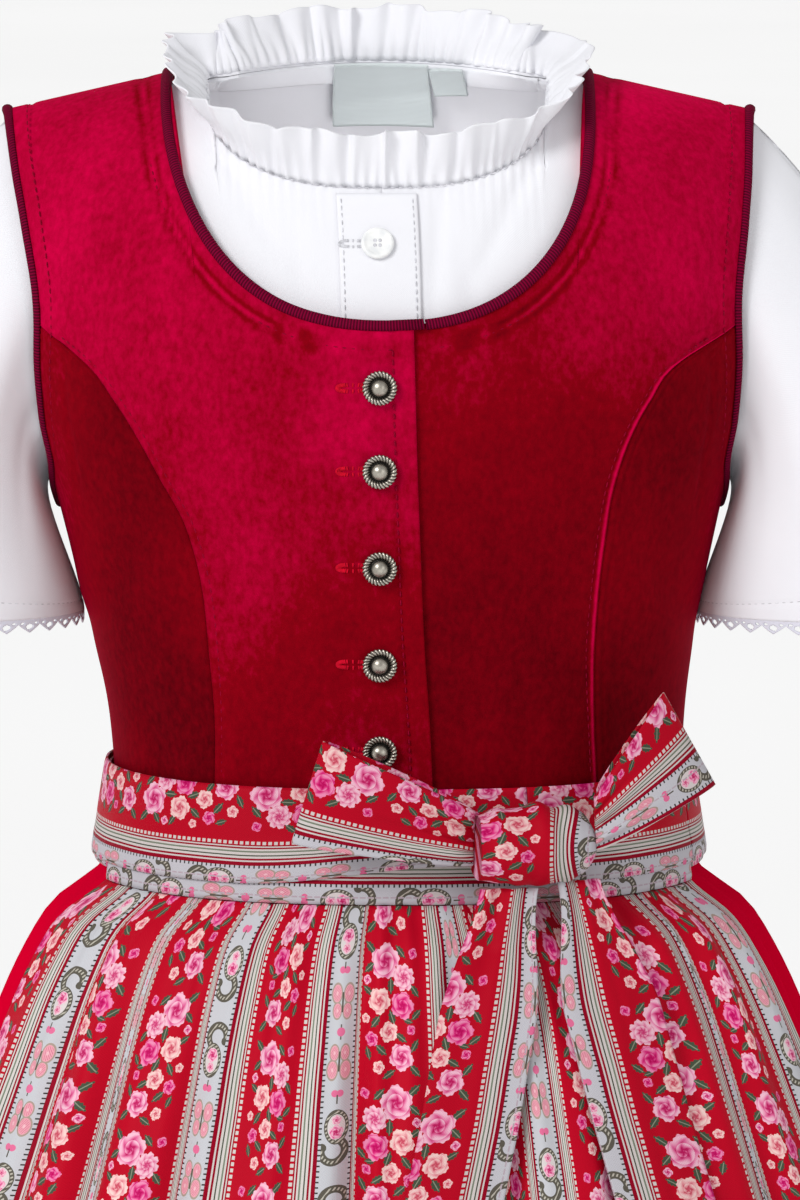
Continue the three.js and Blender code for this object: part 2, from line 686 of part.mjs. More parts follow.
function makeButtons() {
  const lapLift = LAYER.bodiceLap.lift + LAYER.bodiceLap.thick + SEAM_GAP;
  BUTTONS.heights.forEach((z, i) => button(`button_${i + 1}`, BUTTONS, z, lapLift, silver));
  const placketLift = LAYER.placket.lift + LAYER.placket.thick + SEAM_GAP;
  button('blouse_button', BLOUSE_BUTTON, BLOUSE_BUTTON.z, placketLift, pearl);
}

// ---- blouse -------------------------------------------------------------------------------------
const ARMHOLE_TOP = ARMHOLE[ARMHOLE.length - 1].z;
const raisedUnderarm = (z) => ARMHOLE_TOP + (z - ARMHOLE_TOP) * SLEEVE.startScale;
const blouseArmholeFront = edge(ARMHOLE, 'half', false, raisedUnderarm);
const blouseArmholeBack = edge(ARMHOLE, 'half', true, raisedUnderarm);
const BLOUSE_UNDERARM = riseOf(SIDE, raisedUnderarm(UNDERARM_Z));
const BLOUSE_ARMHOLE = [blouseArmholeFront, blouseArmholeBack, BLOUSE_UNDERARM];
const BLOUSE_HEM = riseOf(SIDE, BLOUSE_HEM_Z);

function makeBlouseBody() {
  const outerFront = sideEdge(blouseArmholeFront, BLOUSE_UNDERARM);
  const outerBack = sideEdge(blouseArmholeBack, BLOUSE_UNDERARM);
  const shared = {
    bottom: BLOUSE_HEM, lowRows: BLOUSE_LOW_ROWS, highRows: HIGH_ROWS, layer: LAYER.blouse, material: cotton,
  };
  const middle = upright(() => 0);
  const strap = (piece, side) => strapShare(piece.from, piece.to, COLLAR_FRONT.half, side, false);
  const right = { name: 'blouse_front_right', from: mirrored(outerFront), to: middle };
  const left = { name: 'blouse_front_left', from: middle, to: outerFront };
  panel({ ...shared, ...right, neck: COLLAR_FRONT, shares: strapFirst(strap(right, -1), ...BLOUSE_COLUMNS) });
  panel({ ...shared, ...left, neck: COLLAR_FRONT, shares: strapLast(strap(left, 1), ...BLOUSE_COLUMNS) });
  const back = { name: 'blouse_back', from: outerBack, to: mirrored(outerBack, true) };
  const share = strapShare(back.from, back.to, COLLAR_BACK.half, 1, true);
  panel({ ...shared, ...back, neck: COLLAR_BACK, shares: strapBothEnds(share, ...BLOUSE_BACK_COLUMNS) });
}

// A small cloth patch on the figure, given by its half widths and heights.
function patch(name, { halves, heights, tilt = 0, columns, rows, layer, material, isBack = false }) {
  const grid = (height) => steps(rows).map((q) => steps(columns).map((p) => {
    const z = mix(heights[0], heights[1], q) + tilt * (p - 0.5);
    const half = mix(halves[0], halves[1], p) + tilt * (0.5 - q);
    const angle = angleOf(half, z, isBack);
    return onFigure(angle, riseOf(angle, z), height);
  }));
  return wall(name, grid(layer.lift + layer.thick), grid(layer.lift), material);
}

function makeBlouseTrim() {
  patch('blouse_placket', { ...PLACKET, layer: LAYER.placket, material: cotton });
  patch('neck_label', { ...NECK_LABEL, layer: LAYER.label, material: labelCloth, isBack: true });
  patch('size_tab', { ...SIZE_TAB, layer: LAYER.label, material: labelCloth, isBack: true });
  const around = neckTurns(NECKBAND.columns).slice(0, -1);
  const { lift, thick } = LAYER.neckband;
  const at = (grow, height) => around.map((turn) => neckPoint(COLLAR_FRONT, COLLAR_BACK, turn, grow, height));
  const faceAt = (height) => [at(NECKBAND.high, height), at(NECKBAND.edge, height)];
  wall('blouse_neckband', faceAt(lift + thick), faceAt(lift), cotton, true);
}

// The frill stands on the neck seam, leaning outwards, in waves that open towards its top.
function makeFrill() {
  const middle = LAYER.blouse.lift + LAYER.blouse.thick / 2;
  const around = turns(FRILL.seamPoints).slice(0, -1);
  const seam = around.map((turn) => neckPoint(COLLAR_FRONT, COLLAR_BACK, turn, 0, middle));
  const curve = new THREE.CatmullRomCurve3(seam, true);
  const surface = (p, q) => {
    const at = ((p % 1) + 1) % 1;
    const point = curve.getPointAt(at);
    const tangent = curve.getTangentAt(at);
    const out = new THREE.Vector3(tangent.y, -tangent.x, 0).normalize();
    const sideways = Math.abs(Math.sin(2 * Math.PI * at));
    const opened = mix(FRILL.flareFront, FRILL.flareSide, sideways ** 2) * DEGREE;
    const flare = opened * ease(...FRILL.flareOver, q);
    const wave = mix(FRILL.baseWave, FRILL.topWave, q) * Math.sin(2 * Math.PI * FRILL.waves * at);
    const reach = FRILL.seat + FRILL.height * q;
    point.addScaledVector(out, reach * Math.sin(flare) + wave);
    point.z += reach * Math.cos(flare);
    return point;
  };
  const count = FRILL.waves * 4;
  const columns = steps(count).slice(0, -1).map((t) => t + 0.5 / count);
  surfaceWall('blouse_frill_collar', surface, columns, [0, 0.5, 1], FRILL.thick, cotton, true);
}

// A short sleeve: from the armhole out over the shoulder and down to a level hem.
function sleeveSurface(side) {
  const lift = LAYER.blouse.lift + LAYER.blouse.thick;
  const lean = read(FIGURE, 'z', 'lean', UNDERARM_Z);
  return (turn, t) => {
    const { point, inwards } = armholePoint(...BLOUSE_ARMHOLE, side, turn, lift);
    const under = (1 - Math.cos(turn)) / 2;
    const forward = Math.sin(turn);
    const step = ([atTop, atUnderarm]) => mix(atTop, atUnderarm, under);
    const start = point.addScaledVector(inwards, SLEEVE.clear);
    const hemAcross = lean + side * (SLEEVE.hemX + SLEEVE.hemHalf * Math.cos(turn));
    const hem = new THREE.Vector3(hemAcross, -SLEEVE.hemDepth * forward, SLEEVE.hemZ);
    const first = start.clone().addScaledVector(inwards, step(SLEEVE.stepIn));
    first.x += side * step(SLEEVE.stepOut);
    first.y -= SLEEVE.stepForward * forward;
    first.z -= step(SLEEVE.stepDown);
    const second = hem.clone();
    second.x += side * step(SLEEVE.hemStepOut);
    second.y -= SLEEVE.hemStepForward * forward;
    second.z += step(SLEEVE.hemStepUp);
    const place = new THREE.CubicBezierCurve3(start, first, second, hem).getPoint(clamp(t, 0, 1));
    const gathered = (1 - under) * (1 - t) * Math.sin(Math.PI * clamp(t * SLEEVE.gatherShare, 0, 1));
    const out = new THREE.Vector3(place.x - side * SLEEVE.armX, place.y, 0).normalize();
    return place.addScaledVector(out, SLEEVE.gatherDeep * gathered * Math.sin(SLEEVE.gathers * turn));
  };
}

function makeSleeves() {
  [{ side: -1, word: 'right' }, { side: 1, word: 'left' }].forEach(({ side, word }) => {
    const surface = sleeveSurface(side);
    const around = turns(SLEEVE.gathers * 4).slice(0, -1);
    const innerAt = (turn, t) => {
      const normal = normalOf(surface, turn, clamp(t, SLEEVE.endInset, 1 - SLEEVE.endInset));
      return surface(turn, t).addScaledVector(normal, -side * SLEEVE.thick);
    };
    const outer = SLEEVE.flow.map((t) => around.map((turn) => surface(turn, t)));
    const inner = SLEEVE.flow.map((t) => around.map((turn) => innerAt(turn, t)));
    wall(`blouse_sleeve_${word}`, outer, inner, cotton, true);
    makeLace(side, word, surface);
  });
}

// A lace edging under the hem, pointed along its lower edge.
function makeLace(side, word, sleeve) {
  const count = LACE.points * 2;
  const around = turns(count).slice(0, -1);
  const middle = new THREE.Vector3();
  around.forEach((turn) => middle.addScaledVector(sleeve(turn, 1), 1 / count));
  const rim = (drop, inset) => around.map((turn) => {
    const point = sleeve(turn, 1);
    const inwards = middle.clone().sub(point).normalize();
    point.addScaledVector(inwards, inset);
    point.z -= drop(turn);
    return point;
  });
  const top = () => SEAM_GAP;
  const pointed = (turn) => (Math.round(turn / (2 * BACK) * count) % 2 ? LACE.deep : LACE.rim);
  const faceAt = (inset) => [rim(pointed, inset), rim(top, inset)];
  wall(`sleeve_lace_${word}`, faceAt(0), faceAt(LACE.thick), cotton, true);
}

// ---- skirt and apron ----------------------------------------------------------------------------
const skirtSize = (column, z) => read(SKIRT, 'z', column, z);

function skirtBase(angle, z) {
  return section(angle, skirtSize('half', z), skirtSize('front', z), skirtSize('back', z), 0, z);
}

// Folds hang a little unevenly, and lie flatter under the apron.
function skirtFold(angle, z) {
  const isFront = Math.cos(angle) > 0;
  const sine = Math.abs(Math.sin(angle));
  const pressed = isFront ? mix(UNDER_APRON, 1, ease(...SKIRT_FOLD.pressedOver, sine)) : 1;
  const wave = SKIRT_FOLD.uneven * Math.sin(SKIRT_FOLD.unevenWaves * angle + SKIRT_FOLD.unevenFrom);
  const wander = SKIRT_FOLD.wander * Math.sin(SKIRT_FOLD.wanderWaves * angle + SKIRT_FOLD.wanderFrom);
  const deep = skirtSize('fold', z) * pressed * (SKIRT_FOLD.deep + wave);
  return deep * Math.cos(SKIRT_FOLD.count * angle + wander);
}

// Level and away from the body, at a place on the skirt.
const skirtOut = (angle, z) => normalOf(skirtBase, angle, z).setZ(0).normalize();

function skirtSurface(angle, z) {
  return skirtBase(angle, z).addScaledVector(skirtOut(angle, z), skirtFold(angle, z));
}

function makeSkirt() {
  const levels = [SKIRT_HEM_Z, ...SKIRT_LEVELS, WAIST_Z - SEAM_GAP];
  const front = turns(SKIRT_COLUMNS.front, -SIDE + SEAM_ANGLE, SIDE - SEAM_ANGLE);
  const back = turns(SKIRT_COLUMNS.back, SIDE + SEAM_ANGLE, 3 * SIDE - SEAM_ANGLE);
  surfaceWall('skirt_front', skirtSurface, front, levels, SATIN_THICK, satin);
  surfaceWall('skirt_back', skirtSurface, back, levels, SATIN_THICK, satin);
}

const apronDepth = (z) => APRON.foldDepth * skirtSize('fold', z);
const apronRidge = (z) => UNDER_APRON * skirtSize('fold', z) + APRON.clear + apronDepth(z);

function apronFold(angle, z) {
  const sine = Math.sin(angle);
  const troughs = APRON_FOLDS.reduce((sum, fold) => sum
    + fold.deep * Math.exp(-(((sine - fold.place) / fold.wide) ** 2)), 0);
  const sideways = APRON.flat * ease(...APRON.flatOver, Math.abs(sine));
  const down = clamp((APRON.topZ - z) / APRON.gatherLong, 0, 1);
  const gather = APRON.gatherDeep * (1 - down) * Math.sin(APRON.gathers * angle);
  const lowered = apronDepth(z) * Math.max(sideways, Math.min(1, troughs));
  return apronRidge(z) - lowered + gather * Math.min(1, down / APRON.gatherStart);
}

function apronSurface(angle, z) {
  return skirtBase(angle, z).addScaledVector(skirtOut(angle, z), apronFold(angle, z));
}

function makeApron() {
  const reach = Math.asin(APRON.spread);
  const levels = [APRON.hemZ, ...APRON.levels, APRON.topZ - SEAM_GAP];
  surfaceWall('apron_panel', apronSurface, turns(APRON.columns, -reach, reach), levels, PRINT_THICK, print);
}

// ---- waistband, ties and bow --------------------------------------------------------------------
function beltSurface(angle, z) {
  const t = (z - BELT.topZ) / (BELT.lowZ - BELT.topZ);
  return section(angle, mix(...BELT.half, t), mix(...BELT.front, t), mix(...BELT.back, t), 0, z);
}

function beltStrip(name, from, to, { topZ, lowZ, lift }, columns, lowAt = () => 0) {
  const grid = (height) => [1, 0].map((q) => turns(columns, from, to).map((angle) => {
    const z = mix(topZ, lowZ + lowAt(angle), q);
    return beltSurface(angle, z).addScaledVector(normalOf(beltSurface, angle, z), height);
  }));
  return wall(name, grid(lift + PRINT_THICK), grid(lift), tiePrint);
}

function makeBelt() {
  const end = Math.asin(APRON.spread);
  const first = end + 2 * SEAM_ANGLE;
  const full = 2 * BACK;
  const knotRight = full + Math.asin((KNOT.x - TIE_END.underKnot) / BELT.half[0]);
  const knotLeft = Math.asin((KNOT.x + TIE_END.underKnot) / BELT.half[0]);
  const drawnIn = (angle) => TIE_END.drawnIn * ease(full + TIE_END.from, full + TIE_END.to, angle);
  beltStrip('apron_waistband', -end, end, BAND, BAND.columns);
  beltStrip('tie_round_back', first, full - first, TIE_INNER, TIE_INNER.columns);
  beltStrip('tie_over_back_and_front', first, knotRight, TIE_OUTER, TIE_OUTER.columns, drawnIn);
  beltStrip('tie_front_left', knotLeft, end - 2 * SEAM_ANGLE, TIE_OUTER, TIE_OUTER.endColumns);
}

function makeKnot() {
  const geometry = new THREE.SphereGeometry(1, KNOT.columns, KNOT.rows);
  const place = geometry.attributes.position;
  const point = new THREE.Vector3();
  for (let k = 0; k < place.count; k += 1) {
    point.fromBufferAttribute(place, k);
    const crease = 1 - KNOT.crease * Math.exp(-(((point.x - KNOT.creaseAt) / KNOT.creaseWide) ** 2));
    point.multiply(new THREE.Vector3(KNOT.halfWide, KNOT.halfDeep * crease, KNOT.halfHigh * crease));
    place.setXYZ(k, point.x, point.y, point.z);
  }
  geometry.deleteAttribute('normal');
  geometry.deleteAttribute('uv');
  const mesh = new THREE.Mesh(mergeVertices(geometry, WELD), tiePrint);
  const angle = Math.asin(KNOT.x / BELT.half[0]);
  const out = normalOf(beltSurface, angle, KNOT.z).setZ(0).normalize();
  mesh.name = 'bow_knot';
  mesh.quaternion.setFromUnitVectors(new THREE.Vector3(0, -1, 0), out);
  mesh.position.copy(beltSurface(angle, KNOT.z));
  mesh.position.addScaledVector(out, TIE_OUTER.lift + PRINT_THICK + KNOT.standOff + KNOT.halfDeep);
  mesh.geometry.computeVertexNormals();
  dirndl.add(mesh);
}

// A bow loop: a strip that runs out to its tip, turns, and comes back behind itself.
function makeLoop({ name, root, tip, rootWide, tipWide, tipSkew, puff }) {
  const from = new THREE.Vector3(...root);
  const to = new THREE.Vector3(...tip);
  const rootAcross = new THREE.Vector3(0, 0, rootWide / 2);
  const tipAcross = new THREE.Vector3(...tipSkew).normalize().multiplyScalar(tipWide / 2);
  const away = new THREE.Vector3(0, -1, 0);
  const surface = (p, q) => {
    const run = (1 - Math.cos(2 * Math.PI * p)) / 2;
    const centre = from.clone().lerp(to, run);
    const across = rootAcross.clone().lerp(tipAcross, run ** LOOP_ENDS.widenEarly);
    return centre.addScaledVector(across, q).addScaledVector(away, puff * Math.sin(2 * Math.PI * p));
  };
  const around = steps(LOOP_ENDS.columns).map((t) => mix(LOOP_ENDS.first, LOOP_ENDS.last, t));
  surfaceWall(name, surface, around, RIBBON_SHARES, PRINT_THICK, tiePrint);
}

function makeTail({ name, topX, midX, lowX, topZ, lowZ, topWide }) {
  // The front of the apron's ridges, or of the ties above it, at a place across and a height.
  const envelope = (x, z) => {
    const level = Math.min(z, APRON.topZ - TAIL.bandClear);
    const out = apronRidge(level) + TAIL.lift + PRINT_THICK;
    const pointAt = (angle) => skirtBase(angle, level).addScaledVector(skirtOut(angle, level), out);
    let angle = 0;
    for (let k = 0; k < TAIL.tries; k += 1) angle += (x - pointAt(angle).x) / skirtSize('half', level);
    return pointAt(angle).y;
  };
  const { midZ } = TAIL;
  const centreX = (z) => {
    if (z > midZ) return mix(topX, midX, (topZ - z) / (topZ - midZ));
    return mix(midX, lowX, (midZ - z) / (midZ - lowZ));
  };
  const surface = (p, z) => {
    const width = mix(topWide, TAIL.wide, ease(0, TAIL.widenOver, topZ - z));
    const x = centreX(z) + p * width / 2;
    const bow = TAIL.bow * Math.sin(Math.PI * clamp((topZ - z) / TAIL.bowOver, 0, 1));
    return new THREE.Vector3(x, envelope(x, z) - bow, z);
  };
  const levels = steps(TAIL.rows).map((t) => mix(lowZ, topZ, t));
  surfaceWall(name, surface, RIBBON_SHARES, levels, PRINT_THICK, tiePrint);
}

makeBlouseBody();
makeBlouseTrim();
makeFrill();
makeSleeves();
makeCentreFronts();
makeSidePanels();
makeCentreBack();
makeBindings();
makeButtons();
makeSkirt();
makeApron();
makeBelt();
makeKnot();
makeLoop(LOOP_RIGHT_SIDE);
makeLoop(LOOP_LEFT_SIDE);
TAILS.forEach(makeTail);

export default dirndl;
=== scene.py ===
"""Visual model of a child's dirndl set: blouse, velvet bodice, satin skirt, printed apron with a bow.

Sizes are millimetres in the part's own frame (+Z up, front to -Y, the wearer's right to -X) and become
metres only where a mesh is made. Each cloth piece stands in for the node that it is named after.
"""

import math

import bpy
import numpy as np
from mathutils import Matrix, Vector


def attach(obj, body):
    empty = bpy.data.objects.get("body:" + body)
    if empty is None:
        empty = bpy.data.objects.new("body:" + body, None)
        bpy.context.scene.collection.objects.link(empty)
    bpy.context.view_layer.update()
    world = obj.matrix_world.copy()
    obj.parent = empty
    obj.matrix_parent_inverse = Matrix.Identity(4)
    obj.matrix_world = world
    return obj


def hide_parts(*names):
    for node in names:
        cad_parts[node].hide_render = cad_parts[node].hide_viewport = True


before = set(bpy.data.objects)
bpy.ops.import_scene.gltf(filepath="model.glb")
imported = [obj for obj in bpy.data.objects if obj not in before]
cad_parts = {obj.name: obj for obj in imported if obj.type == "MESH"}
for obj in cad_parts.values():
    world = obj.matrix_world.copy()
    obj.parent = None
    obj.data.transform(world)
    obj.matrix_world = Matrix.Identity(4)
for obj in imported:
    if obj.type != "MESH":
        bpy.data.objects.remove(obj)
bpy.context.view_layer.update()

MM = 0.001
SIDE = math.pi / 2
BACK = math.pi
FULL = 2 * math.pi
DEGREE = math.pi / 180


# ---- numbers ----------------------------------------------------------------------------------------
def mix(a, b, t):
    return a + (b - a) * t


def ease(low, high, x):
    t = np.clip((x - low) / (high - low), 0, 1)
    return t * t * (3 - 2 * t)


def bell(x, place, wide):
    return np.exp(-(((x - place) / wide) ** 2))


def along(count, first=0.0, last=1.0):
    return np.linspace(first, last, count + 1)


def unit(vectors):
    return vectors / np.maximum(1e-12, np.linalg.norm(vectors, axis=-1, keepdims=True))


def run_along(path):
    """Length from a path's first point to each of its points."""
    return np.concatenate([[0], np.cumsum(np.linalg.norm(np.diff(path, axis=0), axis=-1))])


class Table:
    """Smooth columns over a key column, by cubic pieces."""

    def __init__(self, names, rows):
        data = np.array(rows, float)
        if data[0, 0] > data[-1, 0]:
            data = data[::-1]
        self.key = data[:, 0]
        self.columns = {name: data[:, k + 1] for k, name in enumerate(names)}

    def read(self, name, at):
        key, value = self.key, self.columns[name]
        slope = np.empty(len(key))
        slope[1:-1] = (value[2:] - value[:-2]) / (key[2:] - key[:-2])
        slope[0] = (value[1] - value[0]) / (key[1] - key[0])
        slope[-1] = (value[-1] - value[-2]) / (key[-1] - key[-2])
        i = np.clip(np.searchsorted(key, at) - 1, 0, len(key) - 2)
        span = key[i + 1] - key[i]
        t = np.clip((at - key[i]) / span, 0, 1)
        return (
            mix(value[i], value[i + 1], ease(0, 1, t))
            + span * slope[i] * t * (1 - t) ** 2
            - span * slope[i + 1] * t * t * (1 - t)
        )


# ---- driving dimensions -----------------------------------------------------------------------------
WAIST_Z = -262.0
CHEST_Z = -105.0
CHEST_RISE = 0.55
CROWN_POWER = 2.5
UNDERARM_Z = -147.0
YOKE_Z = -81.0
# Layers: height of a cloth over the figure, and its thickness.
LAYER = {
    "bodice": (-1.4, 1.4),
    "lap": (0.3, 1.4),
    "blouse": (-5.6, 1.0),
    "placket": (-4.1, 0.9),
    "neckband": (-9.1, 1.0),
    "label": (-10.8, 1.0),
}
PRINT_THICK = 0.7
SATIN_THICK = 0.7

FIGURE = Table(("half", "front", "back", "lean"), [
    (-262, 101.5, 77, 69, 0),
    (-240, 102, 78, 69.5, -0.4),
    (-216, 104, 80, 71, -1),
    (-189, 109, 83, 73, -2.3),
    (-147, 118.3, 87, 76, -3.2),
    (-133, 122.3, 88, 77, -3.5),
    (-115, 127.5, 88, 77.5, -3.7),
    (-97, 131, 88, 78, -3.8),
    (-78, 133.5, 87, 78, -4),
    (-46, 137.5, 86, 77, -5),
    (0, 139, 84, 76, -7.5),
    (40, 139, 84, 76, -7.5),
])
SHOULDER = {"half": 139, "inner": 74, "z": 6, "fall": 0.227, "neck_half": 58, "front_z": 8, "back_z": 30}
ARMHOLE = Table(("half",), [
    (-147, 118.3), (-132, 119.3), (-115, 121.9), (-97, 123.2), (-78, 123),
    (-65, 123.8), (-46, 126.6), (-28, 129.2), (-7.3, 132.5),
])
PRINCESS_FRONT = Table(("right", "left"), [
    (-262, 65.8, 71.8), (-200, 64.1, 70.4), (-170, 66, 73), (-148, 71.4, 76), (-132, 79.9, 79.4),
    (-117, 88.2, 85), (-104, 96.8, 92.3), (-93, 106, 101), (-81, 122.9, 122.9),
])
PRINCESS_BACK = Table(("half",), [
    (-262, 52), (-200, 53), (-160, 60), (-130, 74), (-105, 94), (-81, 122.9),
])
NECK_FRONT = {"half": 74, "top": 6, "low": -77.5, "power": 2.35}
NECK_BACK = {"half": 74, "top": 6, "low": -30, "power": 2.3}
COLLAR_FRONT = {"half": 61.5, "top": 8.8, "low": -29.5, "power": 2.6}
COLLAR_BACK = {"half": 61.5, "top": 8.8, "low": 12, "power": 2}
LAP_EDGE = {"top": 9.0, "waist": 12.5}
UNDERLAP_EDGE = -12.0
LAP_RAMP = (-40.0, -22.0)
LAP_TURN = 7.5 * DEGREE
TOPSTITCH = {"neck": 8.6, "pressed": (6.9, 10.4), "armhole": 9.5, "lap": 7.5, "princess": 3.4}
BUTTONS = {"across": -6.6, "heights": (-98.9, -127.5, -161, -195, -226)}
BLOUSE_BUTTON = {"across": -7.4, "z": -49.2}
FRILL = {
    "waves": 40, "height": 17.5, "base": 0.35, "top": 1.9, "thick": 0.5,
    "front": 12 * DEGREE, "side": 46 * DEGREE, "seat": 2.6, "root": -2.2, "pleats": 92,
}
SLEEVE = {
    "hem_z": -186, "hem_x": 158, "hem_half": 48.4, "hem_depth": 42, "thick": 0.7, "gathers": 7, "deep": 1.1,
    "share": 1.4, "arm_x": 146, "start": 0.945, "clear": 0.6, "out": (30, 15), "inwards": (5, 3),
    "down": (30, -1), "forward": 7, "hem_out": (-1, 1.2), "hem_up": (70, 18), "hem_forward": 3,
}
LACE = {"deep": 4.6, "points": 32, "rim": 1.5, "thick": 0.5, "grid": (960, 13)}
SKIRT = Table(("half", "front", "back", "fold"), [
    (-262, 101.5, 77, 69, 0.3),
    (-270, 103.5, 79, 71, 0.5),
    (-279, 107.5, 82.5, 75, 0.8),
    (-291, 123, 91, 86, 1.5),
    (-304, 131.5, 97, 94, 2.3),
    (-324, 140.5, 104, 103, 3.5),
    (-375, 159, 119, 122, 6),
    (-450, 186, 141, 147, 9),
    (-550, 217, 168, 175, 11),
    (-655, 243, 196, 204, 12),
])
SKIRT_FOLDS = 24
SKIRT_TOP_Z = -262.3
SKIRT_HEM_Z = -655
UNDER_APRON = 0.45
APRON = {
    "top_z": -279.3, "hem_z": -628, "spread": 0.945, "clear": 1.6, "depth": 1.5, "gathers": 34,
    "deep": 1.2, "long": 60,
}
# Folds by their place across (sine of the angle), how much of the depth they take, and their width.
APRON_FOLDS = [
    (-0.86, 0.5, 0.04), (-0.775, 0.75, 0.032), (-0.645, 0.8, 0.03), (-0.474, 0.75, 0.03),
    (-0.1, 1, 0.03), (0.236, 0.7, 0.045), (0.483, 0.95, 0.04), (0.768, 0.8, 0.033), (0.86, 0.45, 0.035),
]
# Where each warp line of the print lies across the apron: place (sine of the angle), millimetres of cloth.
WARP = np.array([
    (-0.95, -4), (-0.9, 18), (-0.857, 27.5), (-0.793, 38.5), (-0.78, 41), (-0.77, 60), (-0.668, 77),
    (-0.65, 86), (-0.64, 98), (-0.625, 107), (-0.487, 136), (-0.478, 139), (-0.468, 145.5), (-0.403, 156.5),
    (-0.347, 166), (-0.236, 195), (-0.177, 204.5), (-0.106, 215.5), (-0.092, 228), (0.068, 254),
    (0.125, 263.5), (0.204, 284), (0.272, 313), (0.29, 322.5), (0.344, 333.5), (0.372, 343), (0.465, 365),
    (0.503, 400), (0.7115, 431), (0.757, 440.5), (0.764, 442), (0.775, 461), (0.859, 490), (0.875, 499),
    (0.95, 518),
])
BELT = {"top_z": -239, "low_z": -279, "half": (102.9, 109.3), "front": (79, 84.6), "back": (70.3, 77.3)}
BAND = {"top_z": -244, "low_z": -279.2, "lift": 0.2}
TIE_INNER = {"top_z": -241, "low_z": -275, "lift": 0.3}
TIE_OUTER = {"top_z": -239.5, "low_z": -273, "lift": 1.7}
TIE_DRAWN_IN = (7.0, FULL - 0.35 * SIDE, FULL + 0.12 * SIDE)
KNOT = {"x": 42.2, "z": -257, "wide": 21.5, "high": 14.5, "deep": 12, "stand_off": 0.4}
LOOP_RIGHT = {
    "root": (26.7, -94, -254.5), "tip": (-31, -102, -237), "root_wide": 18, "tip_wide": 37,
    "skew": (5.5, 0, 18), "puff": 8,
}
LOOP_LEFT = {
    "root": (67, -91, -250), "tip": (101, -76, -222), "root_wide": 17, "tip_wide": 37,
    "skew": (-9, 0, 16), "puff": 8,
}
TAIL = {"wide": 34, "mid_z": -350, "lift": 2.2, "widen": 45, "bow": 3, "bow_over": 60, "band_clear": 12}
TAIL_RIGHT = {"top_x": 38, "mid_x": 24, "low_x": -2, "top_z": -271.5, "low_z": -470, "top_wide": 20}
TAIL_LEFT = {"top_x": 62, "mid_x": 84, "low_x": 117, "top_z": -269.5, "low_z": -462, "top_wide": 15}

# The print: millimetres of cloth across the stripes and along them.
REPEAT = {"across": 59.0, "strip": 33.0, "long": 95.0, "shift": 33.0}
TIE_PRINT = {"from": -2.0, "to": 34.0}


# ---- the figure ------------------------------------------------------------------------------------
def section(angle, half, front, back, lean, z):
    sine = np.sin(angle)
    crown = np.sqrt(np.maximum(0, 1 - np.abs(sine) ** CROWN_POWER))
    y = np.where(np.cos(angle) >= 0, -front * crown, back * crown)
    return np.stack(np.broadcast_arrays(lean + half * sine, y, z), -1).astype(float)


def shoulder_z(angle):
    across = np.abs(np.sin(angle)) * SHOULDER["half"]
    line = SHOULDER["z"] - SHOULDER["fall"] * (across - SHOULDER["inner"])
    edge_z = SHOULDER["z"] - SHOULDER["fall"] * (SHOULDER["neck_half"] - SHOULDER["inner"])
    middle = np.where(np.cos(angle) < 0, SHOULDER["back_z"], SHOULDER["front_z"])
    share = (1 - np.cos(math.pi * np.minimum(1, across / SHOULDER["neck_half"]))) / 2
    return np.where(across >= SHOULDER["neck_half"], line, mix(middle, edge_z, share))


def shoulder_turn(rise):
    return np.maximum(0, (rise - CHEST_RISE) / (1 - CHEST_RISE)) * SIDE


def height_of(angle, rise):
    low = mix(WAIST_Z, CHEST_Z, rise / CHEST_RISE)
    high = CHEST_Z + (shoulder_z(angle) - CHEST_Z) * np.sin(shoulder_turn(rise))
    return np.where(rise <= CHEST_RISE, low, high)


def rise_of(angle, z):
    low = CHEST_RISE * (z - WAIST_Z) / (CHEST_Z - WAIST_Z)
    share = np.clip((z - CHEST_Z) / (shoulder_z(angle) - CHEST_Z), 0, 1)
    return np.where(z <= CHEST_Z, low, CHEST_RISE + (1 - CHEST_RISE) * np.arcsin(share) / SIDE)


def angle_of(half, z, is_back=False):
    angle = np.arcsin(np.clip(half / FIGURE.read("half", z), -1, 1))
    return np.where(is_back, BACK - angle, angle)


def half_of(angle, rise):
    return np.sin(angle) * FIGURE.read("half", height_of(angle, rise))


def figure(angle, rise):
    z = height_of(angle, rise)
    turn = np.cos(shoulder_turn(rise))
    size = {name: FIGURE.read(name, z) for name in ("half", "front", "back", "lean")}
    return section(angle, size["half"], size["front"] * turn, size["back"] * turn, size["lean"], z)


def normal_of(surface, p, q, nudge=0.0005):
    across = surface(p + nudge, q) - surface(p - nudge, q)
    upwards = surface(p, q + nudge) - surface(p, q - nudge)
    return unit(np.cross(across, upwards))


def figure_normal(angle, rise):
    return normal_of(figure, angle, np.minimum(rise, 1 - 0.0005))


def on_figure(angle, rise, lift):
    return figure(angle, rise) + figure_normal(angle, rise) * np.asarray(lift, float)[..., None]


# ---- meshes ----------------------------------------------------------------------------------------
def lengths_across(grid):
    return np.linalg.norm(np.diff(grid, axis=1), axis=-1).sum(axis=1)


def area_of(grid):
    a, b, c, d = grid[:-1, :-1], grid[:-1, 1:], grid[1:, 1:], grid[1:, :-1]
    first = np.linalg.norm(np.cross(b - a, c - a), axis=-1)
    second = np.linalg.norm(np.cross(c - a, d - a), axis=-1)
    return (first.sum() + second.sum()) / 2


def arc_map(grid):
    """Millimetres across and along a grid, each averaged over the other direction."""
    across = np.linalg.norm(np.diff(grid, axis=1), axis=-1).mean(axis=0)
    upwards = np.linalg.norm(np.diff(grid, axis=0), axis=-1).mean(axis=1)
    u = np.concatenate([[0], np.cumsum(across)])
    v = np.concatenate([[0], np.cumsum(upwards)])
    return np.stack(np.meshgrid(u, v), -1)


